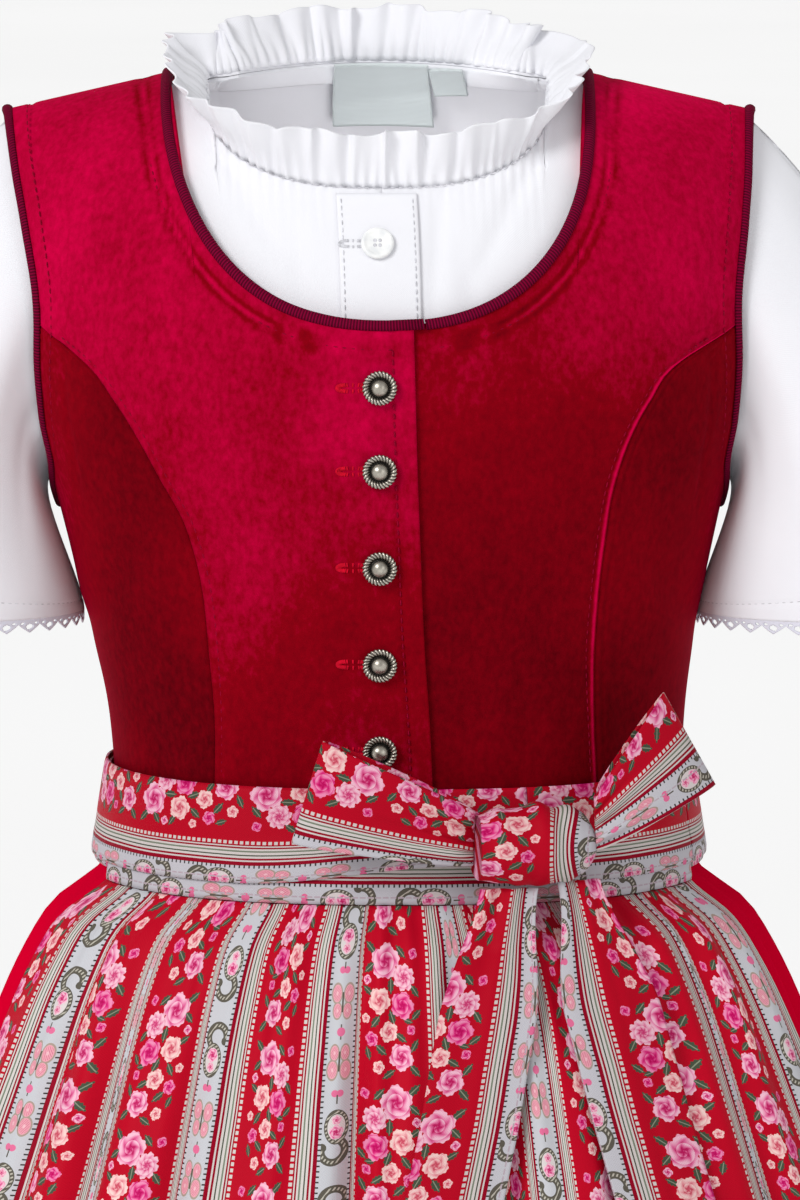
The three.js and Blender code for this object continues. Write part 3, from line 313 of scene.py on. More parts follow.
def mesh_object(name, points, faces, smooth, material, uv=None, marks=None):
    mesh = bpy.data.meshes.new(name)
    mesh.from_pydata((points * MM).tolist(), [], faces)
    mesh.polygons.foreach_set("use_smooth", smooth)
    loops = np.empty(len(mesh.loops), int)
    mesh.loops.foreach_get("vertex_index", loops)
    if uv is not None:
        layer = mesh.uv_layers.new(name="cloth")
        layer.data.foreach_set("uv", uv[loops].ravel())
    for mark, values in (marks or {}).items():
        attribute = mesh.attributes.new(mark, "FLOAT", "POINT")
        attribute.data.foreach_set("value", values)
    mesh.materials.append(material)
    mesh.update()
    obj = bpy.data.objects.new(name, mesh)
    bpy.context.scene.collection.objects.link(obj)
    return obj


def wall_faces(rows, columns, is_loop, holes=None):
    """Faces of a closed wall between two grids, and which of them are smooth."""
    half = rows * columns
    cells = columns if is_loop else columns - 1
    j, i = np.meshgrid(np.arange(rows - 1), np.arange(cells), indexing="ij")
    j, i = j.ravel(), i.ravel()
    following = (i + 1) % columns
    low, high = j * columns, (j + 1) * columns
    outer = np.stack([low + i, low + following, high + following, high + i], -1)
    if holes is not None:
        outer = outer[~holes.ravel()]
    inner = outer[:, ::-1] + half
    edges = {}
    for quad in outer.tolist():
        for a, b in zip(quad, quad[1:] + quad[:1]):
            key = (min(a, b), max(a, b))
            edges[key] = None if key in edges else (a, b)
    rim = [(b, a, a + half, b + half) for a, b in (e for e in edges.values() if e)]
    faces = outer.tolist() + inner.tolist() + rim
    smooth = [True] * (len(outer) * 2) + [False] * len(rim)
    return faces, smooth


def root_piece(obj, nodes=()):
    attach(obj, "root")
    if nodes:
        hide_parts(*nodes)
    return obj


def cloth(node, outer, inner, material, slot, held="hung", rests_on=(), is_loop=False, uv=None,
          marks=None, holes=None):
    """A sheet of cloth between two grids of points that stands in for a node."""
    rows, columns = outer.shape[:2]
    faces, smooth = wall_faces(rows, columns, is_loop, holes)
    points = np.concatenate([outer.reshape(-1, 3), inner.reshape(-1, 3)])
    flat_uv = arc_map(outer) if uv is None else uv
    flat_uv = flat_uv.reshape(-1, 2)
    flat_uv = np.concatenate([flat_uv, flat_uv])
    marks = {name: np.concatenate([m.ravel(), m.ravel()]) for name, m in (marks or {}).items()}
    obj = mesh_object(f"{node}_cloth", points, faces, smooth, material, flat_uv, marks)
    whole = np.concatenate([outer, outer[:, :1]], axis=1) if is_loop else outer
    rows_wide = lengths_across(whole)
    width = (rows_wide.max() if holes is None else rows_wide.min()) * MM
    length = max(lengths_across(whole.transpose(1, 0, 2)).max() * MM, 0.0101)
    area = area_of(whole) * MM * MM
    if holes is not None:
        area *= 1 - holes.mean()
    area = min(max(area, 0.302 * width * length), width * length)
    root_piece(obj, (node,))
    return obj


# ---- node materials --------------------------------------------------------------------------------
def tint(r, g, b):
    """A colour given as it shows, 0 to 255, as the linear one that nodes use."""
    def linear(c):
        c = c / 255
        return c / 12.92 if c <= 0.04045 else ((c + 0.055) / 1.055) ** 2.4
    return (linear(r), linear(g), linear(b), 1.0)


def feed(tree, socket, item):
    """Links a socket to a node's output, or sets it to a number or colour."""
    item = item.socket if isinstance(item, Value) else item
    if isinstance(item, bpy.types.NodeSocket):
        tree.links.new(item, socket)
    else:
        socket.default_value = item


class Value:
    """A number in a node tree; sums and comparisons on it become Math nodes."""

    def __init__(self, tree, socket):
        self.tree = tree
        self.socket = socket

    def math(self, operation, *others):
        node = self.tree.nodes.new("ShaderNodeMath")
        node.operation = operation
        for k, item in enumerate((self, *others)):
            feed(self.tree, node.inputs[k], item)
        return Value(self.tree, node.outputs[0])

    def negative(self):
        return self * -1.0


def node_operation(operation):
    return lambda self, *others: self.math(operation, *others)


for method, node_name in {
    "__add__": "ADD", "__sub__": "SUBTRACT", "__mul__": "MULTIPLY", "__truediv__": "DIVIDE",
    "__lt__": "LESS_THAN", "__gt__": "GREATER_THAN", "__abs__": "ABSOLUTE", "at_most": "MINIMUM",
    "at_least": "MAXIMUM", "wrapped": "FLOORED_MODULO", "floor": "FLOOR", "cos": "COSINE", "sin": "SINE",
    "root": "SQRT",
}.items():
    setattr(Value, method, node_operation(node_name))


def hypot(x, y):
    return (x * x + y * y).root()


def new_material(name):
    material = bpy.data.materials.new(name)
    material.use_nodes = True
    tree = material.node_tree
    tree.nodes.clear()
    output = tree.nodes.new("ShaderNodeOutputMaterial")
    shader = tree.nodes.new("ShaderNodeBsdfPrincipled")
    tree.links.new(shader.outputs[0], output.inputs["Surface"])
    return material, tree, shader


def settle(shader, roughness, sheen=0.0, sheen_rough=0.4, sheen_tint=(1, 1, 1, 1), metallic=0.0, coat=0.0,
           specular=0.5):
    values = {
        "Roughness": roughness, "Metallic": metallic, "Sheen Weight": sheen, "Sheen Roughness": sheen_rough,
        "Sheen Tint": sheen_tint, "Coat Weight": coat, "Specular IOR Level": specular,
    }
    for name, value in values.items():
        shader.inputs[name].default_value = value


def object_place(tree):
    return tree.nodes.new("ShaderNodeTexCoord").outputs["Object"]


def noise(tree, where, scale, detail=3.0, rough=0.5, stretch=None):
    if stretch is not None:
        mapping = tree.nodes.new("ShaderNodeMapping")
        mapping.inputs["Scale"].default_value = stretch
        tree.links.new(where, mapping.inputs["Vector"])
        where = mapping.outputs[0]
    node = tree.nodes.new("ShaderNodeTexNoise")
    node.inputs["Scale"].default_value = scale
    node.inputs["Detail"].default_value = detail
    node.inputs["Roughness"].default_value = rough
    tree.links.new(where, node.inputs["Vector"])
    return Value(tree, node.outputs["Fac"])


def ramp(value, stops, constant=False):
    """Colours by a number; the first two stops are the ramp's own ends."""
    node = value.tree.nodes.new("ShaderNodeValToRGB")
    if constant:
        node.color_ramp.interpolation = "CONSTANT"
    elements = node.color_ramp.elements
    for element, (position, color) in zip(elements, stops):
        element.position, element.color = position, color
    for position, color in stops[2:]:
        elements.new(position).color = color
    feed(value.tree, node.inputs[0], value)
    return node.outputs["Color"]


def blended(tree, low, high, share, blend="MIX"):
    node = tree.nodes.new("ShaderNodeMix")
    node.data_type = "RGBA"
    node.blend_type = blend
    for socket, item in ((node.inputs["Factor"], share), (node.inputs[6], low), (node.inputs[7], high)):
        feed(tree, socket, item)
    return node.outputs[2]


def bumped(shader, height, strength, distance):
    node = height.tree.nodes.new("ShaderNodeBump")
    node.inputs["Strength"].default_value = strength
    node.inputs["Distance"].default_value = distance * MM
    feed(height.tree, node.inputs["Height"], height)
    feed(height.tree, shader.inputs["Normal"], node.outputs[0])


def colour(shader, socket):
    shader.id_data.links.new(socket, shader.inputs["Base Color"])


def mark_value(tree, name):
    node = tree.nodes.new("ShaderNodeAttribute")
    node.attribute_name = name
    return Value(tree, node.outputs["Fac"])


def cloth_place(tree):
    """Millimetres of cloth across and along, from the piece's own UV map."""
    node = tree.nodes.new("ShaderNodeUVMap")
    node.uv_map = "cloth"
    split = tree.nodes.new("ShaderNodeSeparateXYZ")
    tree.links.new(node.outputs[0], split.inputs[0])
    return Value(tree, split.outputs[0]), Value(tree, split.outputs[1])


def velvet_material(name, dark, middle, bright):
    """Velvet whose colour carries painted light and shade: a mark on the mesh says how brightly each place is
    painted as lit.
    """
    material, tree, shader = new_material(name)
    place = object_place(tree)
    painted_pile_light = mark_value(tree, "painted_pile_light")
    patches = noise(tree, place, 17, 4, 0.55, (1, 1, 0.7))
    pile = noise(tree, place, 420, 3, 0.6, (1, 1, 0.7))
    # Painted light and shade come from the mark; the patches and the pile add random tone.
    tone = painted_pile_light + (patches - 0.5) * 0.6 + (pile - 0.5) * 0.45
    colour(shader, ramp(tone, [(0.0, dark), (1.0, bright), (0.5, middle)]))
    settle(shader, 0.85, sheen=0.3, sheen_rough=0.3, sheen_tint=tint(255, 0, 90), specular=0.02)
    grain = noise(tree, place, 1500, 2, 0.6)
    bumped(shader, grain * 0.35 + patches * 0.65, 0.35, 0.5)
    return material


def cotton_material(name, base):
    material, tree, shader = new_material(name)
    place = object_place(tree)
    u, v = cloth_place(tree)
    weave = (u * 9.0).cos() * (v * 9.0).cos()
    soft = noise(tree, place, 30, 3)
    colour(shader, blended(tree, base, tint(205, 206, 214), (soft - 0.35) * 0.25))
    settle(shader, 0.9, sheen=0.15, sheen_rough=0.6, specular=0.25)
    bumped(shader, weave * 0.25 + noise(tree, place, 90, 4) * 0.6, 0.22, 0.5)
    return material


def grosgrain_material():
    material, tree, shader = new_material("grosgrain")
    u, v = cloth_place(tree)
    rib = (u * (FULL / 1.05)).cos()
    shade = rib * 0.5 + 0.5
    colour(shader, ramp(shade, [(0.0, tint(66, 0, 24)), (1.0, tint(128, 0, 48))]))
    settle(shader, 0.75, specular=0.05)
    bumped(shader, shade, 0.6, 0.35)
    return material


def satin_material():
    material, tree, shader = new_material("skirt_satin")
    place = object_place(tree)
    drift = noise(tree, place, 5, 2, 0.5, (1, 1, 0.3))
    colour(shader, ramp(drift, [(0.2, tint(184, 0, 34)), (0.8, tint(212, 0, 44))]))
    settle(shader, 0.5, sheen=0.22, sheen_rough=0.35, sheen_tint=tint(255, 20, 70), specular=0.0)
    bumped(shader, noise(tree, place, 60, 3, 0.5, (1, 1, 0.15)), 0.12, 1.0)
    return material


def thread_material(name, base):
    material, tree, shader = new_material(name)
    twist = noise(tree, object_place(tree), 900, 2)
    dark = tuple(c * 0.6 for c in base[:3]) + (1.0,)
    colour(shader, ramp(twist, [(0.3, dark), (0.7, base)]))
    settle(shader, 0.8, specular=0.08)
    bumped(shader, twist, 0.3, 0.2)
    return material


def silver_material():
    """Old silver: bright on high places, nearly black in the hollows."""
    material, tree, shader = new_material("old_silver")
    place = object_place(tree)
    hollow = mark_value(tree, "hollow")
    stain = noise(tree, place, 700, 4)
    tone = hollow + (stain - 0.5) * 0.5
    stops = [(0.1, tint(190, 184, 172)), (0.9, tint(30, 27, 25)), (0.5, tint(104, 97, 90))]
    colour(shader, ramp(tone, stops))
    settle(shader, 0.34, metallic=0.9, specular=0.5)
    bumped(shader, stain, 0.15, 0.2)
    return material


def pearl_material():
    material, tree, shader = new_material("pearl")
    cloud = noise(tree, object_place(tree), 260, 3)
    colour(shader, ramp(cloud, [(0.3, tint(226, 228, 230)), (0.7, tint(248, 248, 246))]))
    settle(shader, 0.22, coat=0.5, specular=0.5)
    bumped(shader, cloud, 0.05, 0.2)
    return material


def label_material(name, base):
    material, tree, shader = new_material(name)
    u, v = cloth_place(tree)
    rib = (v * (FULL / 0.5)).cos() * 0.5 + 0.5
    light = tuple(min(1.0, c * 1.16) for c in base[:3]) + (1.0,)
    cloud = noise(tree, object_place(tree), 60, 3)
    colour(shader, ramp(rib * 0.5 + cloud * 0.5, [(0.2, base), (0.8, light)]))
    settle(shader, 0.5, sheen=0.2, specular=0.4)
    bumped(shader, rib, 0.25, 0.2)
    return material


def floor_material():
    material, tree, shader = new_material("floor")
    place = object_place(tree)
    greys = [(0.3, (0.93, 0.93, 0.93, 1)), (0.7, (0.95, 0.95, 0.95, 1))]
    colour(shader, ramp(noise(tree, place, 0.6, 2), greys))
    settle(shader, 0.9, specular=0.1)
    shader.inputs["Emission Color"].default_value = (1, 1, 1, 1)
    shader.inputs["Emission Strength"].default_value = FLOOR["glow"]
    return material


# ---- the print -------------------------------------------------------------------------------------
RED = tint(182, 6, 34)
DEEP_RED = tint(146, 4, 34)
CREAM = tint(208, 203, 198)
STRIP_WHITE = tint(194, 195, 200)
GREY_GREEN = tint(120, 130, 112)
DARK_GREEN = tint(74, 80, 66)
OLIVE = tint(92, 88, 78)
TICK = tint(58, 56, 54)
LEAF = tint(70, 80, 64)
LEAF_LIGHT = tint(134, 142, 120)
PINKS = {
    "rose": (tint(186, 26, 92), tint(222, 106, 154), tint(238, 186, 204)),
    "magenta": (tint(184, 8, 88), tint(214, 48, 124), tint(232, 138, 176)),
    "cream": (tint(198, 76, 96), tint(230, 156, 162), tint(238, 204, 198)),
    "daisy": (tint(198, 58, 112), tint(226, 140, 170), tint(236, 190, 204)),
}
# Stripes from the middle of a white strip outwards: where each begins, in millimetres, and its colour.
STRIPES = [
    (0.0, STRIP_WHITE), (5.5, DEEP_RED), (6.9, CREAM), (7.5, DEEP_RED), (8.1, CREAM), (9.0, DARK_GREEN),
    (9.45, CREAM), (10.4, GREY_GREEN), (11.0, CREAM), (11.7, DEEP_RED), (12.25, CREAM), (12.7, DEEP_RED),
    (13.1, RED),
]
DASHES = {"from": 13.3, "to": 14.5, "pitch": 2.1, "long": 1.3}
TICKS = {"from": 4.5, "to": 5.6, "pitch": 1.8, "long": 0.55}
HALF_REPEAT = REPEAT["long"] / 2
PAISLEY_LONG = 23.0
WING_MIDDLE = 69.5
# Flowers of one half repeat: kind, across and along the panel, radius, petals, turn.
FLOWERS = [
    ("rose", 2.6, 7.4, 6.2, 5, 0.4),
    ("daisy", -5.4, 12.6, 4.7, 8, 0.2),
    ("magenta", -4.8, 22.0, 4.8, 5, 1.9),
    ("cream", 4.6, 20.4, 4.6, 5, 0.9),
    ("cream", 0.6, 31.0, 3.6, 5, 2.6),
    ("magenta", 7.4, 33.4, 2.6, 5, 0.1),
    ("rose", -4.4, 39.4, 4.8, 5, 2.2),
    ("magenta", -9.4, 4.6, 1.9, 4, 0.5),
    ("rose", 10.0, 13.8, 1.7, 4, 0.2),
    ("magenta", -8.2, 30.0, 1.8, 4, 0.9),
    ("cream", 4.4, 42.6, 2.3, 5, 0.7),
    ("cream", 10.0, 26.8, 1.7, 5, 0.3),
]
# Leaves of one half repeat: across and along the panel, turn, half length, half width.
LEAVES = [
    (9.2, 3.0, -0.7, 2.9, 1.35), (9.2, 9.6, 0.7, 2.7, 1.3), (-4.0, 4.2, 2.4, 2.7, 1.3),
    (-10.0, 17.0, 2.2, 2.6, 1.2), (0.0, 15.6, 1.6, 2.8, 1.3), (9.4, 17.4, -0.6, 2.5, 1.15),
    (-0.6, 26.2, -1.2, 2.7, 1.3), (-10.4, 25.0, 0.7, 2.5, 1.2), (6.0, 27.4, 0.9, 2.7, 1.3),
    (-4.2, 32.8, 2.6, 2.6, 1.2), (3.6, 36.8, -0.7, 2.8, 1.3), (-9.6, 35.4, 1.0, 2.6, 1.2),
    (-9.6, 43.8, -0.8, 2.8, 1.3), (0.4, 45.2, 0.5, 2.7, 1.2), (-7.0, 27.0, 2.9, 2.0, 1.0),
    (8.6, 38.4, 1.9, 2.3, 1.1),
]


def group_of(name, inputs, outputs, build):
    """A node group whose inputs and outputs are numbers."""
    tree = bpy.data.node_groups.new(name, "ShaderNodeTree")
    for item in inputs:
        tree.interface.new_socket(item, in_out="INPUT", socket_type="NodeSocketFloat")
    for item in outputs:
        tree.interface.new_socket(item, in_out="OUTPUT", socket_type="NodeSocketFloat")
    source = tree.nodes.new("NodeGroupInput")
    sink = tree.nodes.new("NodeGroupOutput")
    results = build(*[Value(tree, source.outputs[k]) for k in range(len(inputs))])
    for k, result in enumerate(results):
        tree.links.new(result.socket, sink.inputs[k])
    return tree


def use_group(group, *values):
    """A group's outputs for some inputs, of which the first is a Value."""
    tree = values[0].tree
    node = tree.nodes.new("ShaderNodeGroup")
    node.node_tree = group
    for k, item in enumerate(values):
        feed(tree, node.inputs[k], item)
    return [Value(tree, socket) for socket in node.outputs]


def build_flower(x, y, cx, cy, radius, petals, turn):
    dx = x - cx
    dy = y - cy
    r = hypot(dx, dy) / radius
    a = dy.math("ARCTAN2", dx) + turn
    scallop = abs((a * petals * 0.5).cos())
    frayed = (a * 17.0).cos() * 0.035
    mask = r < (scallop * 0.2 + 0.8 + frayed)
    spiral = (r * 2.4 + a / FULL).wrapped(1.0)
    petal = (abs((a * petals * 0.5 + r * 3.0).cos()) - 0.5) * 0.5
    heart = (r * -1.9 + 0.9).at_least(0.0)
    tone = (spiral * 0.6 + petal + r * 0.5 - heart * 0.75 + 0.05).at_least(0.0).at_most(1.0)
    return mask, tone


def build_leaf(x, y, cx, cy, turn, half_long, half_wide):
    dx = x - cx
    dy = y - cy
    cosine = turn.cos()
    sine = turn.sin()
    p = (dx * cosine + dy * sine) / half_long
    q = abs(dy * cosine - dx * sine) / half_wide
    body = (p * p).negative() + 1.0 + (p * 13.0).cos() * 0.16
    return q < body, (q < 0.14) * (abs(p) < 0.8)


def over(base, mask, color):
    return blended(mask.tree, base, color, mask)


def petal_colour(kind, tone):
    low, middle, high = PINKS[kind]
    return ramp(tone, [(0.0, low), (1.0, high), (0.5, middle)])


def striped(shown, place, beat, row, color):
    """Short marks in a row along the print: a stripe cut into lengths of a pitch."""
    marks = (place > row["from"]) * (place < row["to"]) * (beat.wrapped(row["pitch"]) < row["long"])
    return over(shown, marks, color)


def print_material(name, seam_at=None):
    material, tree, shader = new_material(name)
    u, v = cloth_place(tree)
    place = object_place(tree)
    u = u + (noise(tree, place, 40, 2) - 0.5) * 0.5
    flower = bpy.data.node_groups.get("flower") or group_of(
        "flower", ("x", "y", "cx", "cy", "radius", "petals", "turn"), ("mask", "tone"), build_flower)
    leaf = bpy.data.node_groups.get("leaf") or group_of(
        "leaf", ("x", "y", "cx", "cy", "turn", "long", "wide"), ("mask", "rib"), build_leaf)
    repeat = (u / REPEAT["across"]).floor()
    across = u.wrapped(REPEAT["across"])
    signed = across - REPEAT["strip"]
    strip = abs(signed)
    near = strip.at_most(abs(signed + REPEAT["across"]))
    shown = ramp(near / 30.0, [(at / 30.0, color) for at, color in STRIPES], constant=True)
    # Square dashes beside the red ground, and ticks along the white strip's edges.
    shown = striped(shown, near, v, DASHES, CREAM)
    shown = striped(shown, near, v, TICKS, TICK)
    # Flowers on the red ground: every second half repeat is turned over.
    middle = across - (REPEAT["strip"] - REPEAT["across"] / 2)
    far_side = middle > (REPEAT["across"] / 2)
    middle = middle - far_side * REPEAT["across"]
    row = v + (repeat + far_side) * REPEAT["shift"]
    flip = (row / HALF_REPEAT).floor().wrapped(2.0) * -2.0 + 1.0
    fx = middle * flip
    fy = row.wrapped(HALF_REPEAT)
    for numbers in LEAVES:
        mask, rib = use_group(leaf, fx, fy, *numbers)
        shown = over(shown, mask, LEAF)
        shown = over(shown, mask * rib, LEAF_LIGHT)
    for kind, *numbers in FLOWERS:
        mask, tone = use_group(flower, fx, fy, *numbers)
        shown = over(shown, mask, petal_colour(kind, tone))
    shown = white_strip(shown, signed, near, v + repeat * 41.0)
    if seam_at is not None:
        line = abs(u - seam_at) < 0.28
        shown = over(shown, line * (v.wrapped(2.6) < 2.0), tint(182, 168, 176))
        # Painted shade: the ties' copy of the print is made darker throughout.
        shown = blended(tree, shown, tint(240, 236, 238), 1.0, "MULTIPLY")
    cloudy = noise(tree, place, 24, 3)
    shown = blended(tree, shown, tint(150, 120, 122), (cloudy - 0.42) * 0.22, "MULTIPLY")
    colour(shader, shown)
    settle(shader, 0.46, sheen=0.05, sheen_rough=0.35, sheen_tint=tint(255, 150, 170), specular=0.04)
    weave = (u * 7.0).cos() * (v * 7.0).cos()
    wrinkle = noise(tree, place, 55, 4, 0.5)
    bumped(shader, weave * 0.15 + wrinkle * 0.7, 0.25, 1.0)
    return material


def white_strip(shown, x, near, row):
    """Hooked paisleys, butterflies and small sprigs down the white strip."""
    y = row.wrapped(REPEAT["long"])
    in_strip = near < TICKS["from"]
    # Two paisleys, the second turned half round.
    second = y > PAISLEY_LONG
    side = second * -2.0 + 1.0
    px = x * side
    py = second * (2 * PAISLEY_LONG) + y * side
    in_paisleys = (y < 2 * PAISLEY_LONG) * in_strip
    in_wing_part = (y > 2 * PAISLEY_LONG) * in_strip
    body = hypot((px - 0.2) / 4.1, (py - 6.6) / 5.9)
    around = hypot(px + 0.6, py - 14.6)
    from_tail = abs(around - 3.9)
    tail = from_tail < 1.3
    tail = tail * ((px > 0.0).at_least(py > 13.8)) * (py > 8.5)
    end = hypot(px + 4.2, py - 13.6) < 1.5
    dark = tail.at_least(end).at_least(body < 1.0)
    shown = over(shown, dark * in_paisleys, OLIVE)
    spots = (from_tail < 0.5) * ((px + py * 0.7).wrapped(1.5) < 0.65) * tail
    rim_spots = (body > 0.78) * (body < 0.93) * ((px * 0.7 + py).wrapped(1.5) < 0.65)
    shown = over(shown, spots.at_least(rim_spots) * in_paisleys, tint(186, 182, 168))
    shown = over(shown, (body < 0.72) * in_paisleys, tint(214, 206, 204))
    flower = bpy.data.node_groups["flower"]
    for kind, cy, radius, turn in (("rose", 8.4, 2.5, 0.3), ("daisy", 4.3, 1.7, 1.4)):
        mask, tone = use_group(flower, px, py, 0.2, cy, radius, 5, turn)
        shown = over(shown, mask * in_paisleys, petal_colour(kind, tone))
    # Butterflies, sprigs and a bud, mirrored about the middle of their stretch.
    gap = abs(y - WING_MIDDLE)
    ax = abs(x)
    by = gap - 10.0
    upper = hypot((ax - 2.3) / 2.1, (by - 2.9) / 3.7).negative() + 1.0
    lower = hypot((ax - 1.9) / 1.8, (by + 2.9) / 3.1).negative() + 1.0
    wing = upper.at_least(lower)
    in_wings = (gap > 3.5) * (gap < 17.0) * in_wing_part
    shown = over(shown, (wing > 0.0) * in_wings, tint(168, 150, 138))
    shown = over(shown, (wing > 0.2) * in_wings, tint(228, 160, 172))
    veins = ((ax * 1.5 + abs(by) * 0.8).wrapped(0.95) < 0.3) * (wing > 0.3)
    shown = over(shown, veins * in_wings, tint(206, 116, 140))
    shown = over(shown, (wing > 0.8) * in_wings, tint(232, 182, 190))
    spine = (ax < 0.32) * (abs(by) < 3.4) * in_wings
    shown = over(shown, spine, OLIVE)
    sprig = hypot(ax - 0.9, gap - 20.8) < 1.2
    bud = hypot(x, gap) < 1.5
    shown = over(shown, sprig.at_least(bud) * in_wing_part, tint(222, 110, 150))
    stem = (ax < 0.25) * (abs(gap - 22.8) < 1.5).at_least((gap > 1.5) * (gap < 2.6) * (ax < 0.3))
    return over(shown, stem * in_wing_part, OLIVE)


WHITE = cotton_material("white_cotton", tint(235, 235, 240))
VELVET = velvet_material("velvet", tint(62, 0, 6), tint(130, 0, 16), tint(212, 0, 70))
GROSGRAIN = grosgrain_material()
SATIN = satin_material()
PRINT = print_material("apron_print")
TIE = print_material("tie_print_painted_shade", seam_at=TIE_PRINT["to"] - 2.0)
SILVER = silver_material()
PEARL = pearl_material()
LABEL = label_material("label_cloth", tint(194, 202, 203))
WINE_THREAD = thread_material("wine_thread", tint(150, 0, 42))
RED_THREAD = thread_material("red_thread", tint(206, 6, 40))
WHITE_THREAD = thread_material("white_thread", tint(226, 226, 232))


# ---- panels on the figure --------------------------------------------------------------------------
def edge(table, column, is_back=False, height_at=lambda z: z):
    rows = []
    for z, half in zip(table.key, table.columns[column]):
        angle = angle_of(half, z, is_back)
        rows.append((float(rise_of(angle, height_at(z))), float(angle)))
    curve = Table(("angle",), rows)
    return lambda rise: curve.read("angle", np.clip(rise, curve.key[0], curve.key[-1]))


def mirrored(angle_at, is_back=False):
    return lambda rise: (2 * BACK if is_back else 0) - angle_at(rise)


def upright(half_at):
    def angle_at(rise):
        z = height_of(0.0, rise)
        return angle_of(half_at(z), z)
    return angle_at


YOKE_RISE = float(rise_of(angle_of(122.9, YOKE_Z), YOKE_Z))
UNDERARM_RISE = float(rise_of(SIDE, UNDERARM_Z))


def neck_z(neck, half):
    share = np.minimum(1, np.abs(half) / neck["half"])
    return neck["top"] - (neck["top"] - neck["low"]) * (1 - share ** neck["power"]) ** (1 / neck["power"])


def neck_distance(neck, half, z):
    """How far outside a neckline a place lies, about, in millimetres."""
    power = neck["power"]
    deep = (neck["top"] - z) / (neck["top"] - neck["low"])
    level = (np.abs(half / neck["half"]) ** power + np.abs(deep) ** power) ** (1 / power)
    return np.hypot(half, neck["top"] - z) * (1 - 1 / np.maximum(level, 1e-6))


def column_tops(angle_at, shares, neck):
    low = np.full(shares.shape, YOKE_RISE)
    high = np.ones(shares.shape)

    def is_cloth(rise):
        angle = angle_at(shares, rise)
        z = height_of(angle, rise)
        half = half_of(angle, rise)
        return (np.abs(half) >= neck["half"]) | (z < neck_z(neck, half))

    whole = is_cloth(high)
    for _ in range(30):
        middle = (low + high) / 2
        cloth_there = is_cloth(middle)
        low = np.where(cloth_there, middle, low)
        high = np.where(cloth_there, high, middle)
    return np.where(whole, 1.0, low)


def panel_grid(first, last, shares, bottom, low_count, high_count=0, neck=None):
    """Angles and rises over a panel, rows from its bottom upwards."""
    def angle_at(share, rise):
        return mix(first(rise), last(rise), share)

    tops = column_tops(angle_at, shares, neck) if high_count else np.full(shares.shape, YOKE_RISE)
    rows = [np.full(shares.shape, mix(bottom, YOKE_RISE, t)) for t in along(low_count)]
    if high_count:
        # Rows keep level past the strap and are drawn down only near the neckline.
        power = np.clip(0.95 * (1 - YOKE_RISE) / np.maximum(1 - tops, 1e-6), 1, 12)
        rows += [mix(YOKE_RISE, 1, t) - (1 - tops) * t ** power for t in along(high_count)[1:]]
    rises = np.array(rows)
    angles = np.array([angle_at(shares, row) for row in rises])
    return angles, rises


def crowded(count):
    """Shares from 0 to 1 that stand closer together at both ends."""
    t = along(count)
    return t - 0.7 * np.sin(FULL * t) / FULL


def strap_first(strap, strap_columns, neck_columns):
    past = mix(strap, 1, 1 - np.cos(along(neck_columns)[1:] * SIDE))
    return np.concatenate([crowded(strap_columns) * strap, past])


def strap_last(strap, *counts):
    return 1 - strap_first(1 - strap, *counts)[::-1]


def strap_both(strap, strap_columns, neck_columns):
    across = mix(strap, 1 - strap, (1 - np.cos(along(neck_columns)[1:-1] * BACK)) / 2)
    ends = crowded(strap_columns) * strap
    return np.concatenate([ends, across, 1 - ends[::-1]])


def strap_share(first, last, neck_half, side, is_back=False):
    raw = math.asin(neck_half / SHOULDER["half"])
    angle = BACK - side * raw if is_back else side * raw
    return float((angle - first(1.0)) / (last(1.0) - first(1.0)))


def side_edge(armhole, underarm):
    return lambda rise: np.where(rise < underarm, SIDE, armhole(rise))


def joined(low, high):
    return lambda rise: np.where(rise < YOKE_RISE, low(rise), high(rise))


armhole_front = edge(ARMHOLE, "half")
armhole_back = edge(ARMHOLE, "half", True)
princess_right = edge(PRINCESS_FRONT, "right")
princess_left = edge(PRINCESS_FRONT, "left")
princess_back = edge(PRINCESS_BACK, "half", True)


def lap_half(z):
    share = np.clip((z - WAIST_Z) / (NECK_FRONT["low"] - WAIST_Z), 0, 1)
    return mix(LAP_EDGE["waist"], LAP_EDGE["top"], share)


def lap_lift(half):
    return (LAYER["lap"][0] - LAYER["bodice"][0]) * ease(*LAP_RAMP, half)


# ---- velvet bodice ---------------------------------------------------------------------------------
ARMHOLE_TOP = float(ARMHOLE.key[-1])
# Soft creases of the bodice: a place (x, z), its direction in degrees, half length, half width, depth.
BODICE_CREASES = [
    (-96, -60, 62, 34, 4.5, 0.8), (-60, -92, 35, 26, 5, 0.5), (-50, -232, 80, 30, 6, 0.7),
    (-30, -243, 100, 22, 4, 0.6), (-84, -238, 96, 28, 5, 0.8), (44, -236, 86, 30, 5, 0.7),
    (84, -238, 100, 26, 4.5, 0.8), (98, -70, 118, 32, 4.5, 0.7), (62, -98, 140, 24, 5, 0.4),
    (-100, -176, 60, 26, 5, 0.7), (96, -170, 120, 26, 5, 0.7), (30, -205, 70, 24, 6, 0.4),
]
PUCKER = {"wide": 9.0, "deep": 0.55}
NO_SEAM = 40


def creased(half, z, is_back, creases, rebound=0.0):
    """Soft creases, each with some share of a rise beside it."""
    relief = np.zeros_like(half)
    face = -1.0 if is_back else 1.0
    for x, height, turn, half_long, half_wide, deep in creases:
        dx, dz = half * face - x, z - height
        cosine, sine = math.cos(turn * DEGREE), math.sin(turn * DEGREE)
        p, q = dx * cosine + dz * sine, dz * cosine - dx * sine
        beside = rebound * bell(q, half_wide * 1.7, half_wide)
        relief -= deep * bell(p, 0, half_long) * (bell(q, 0, half_wide) - beside)
    return relief


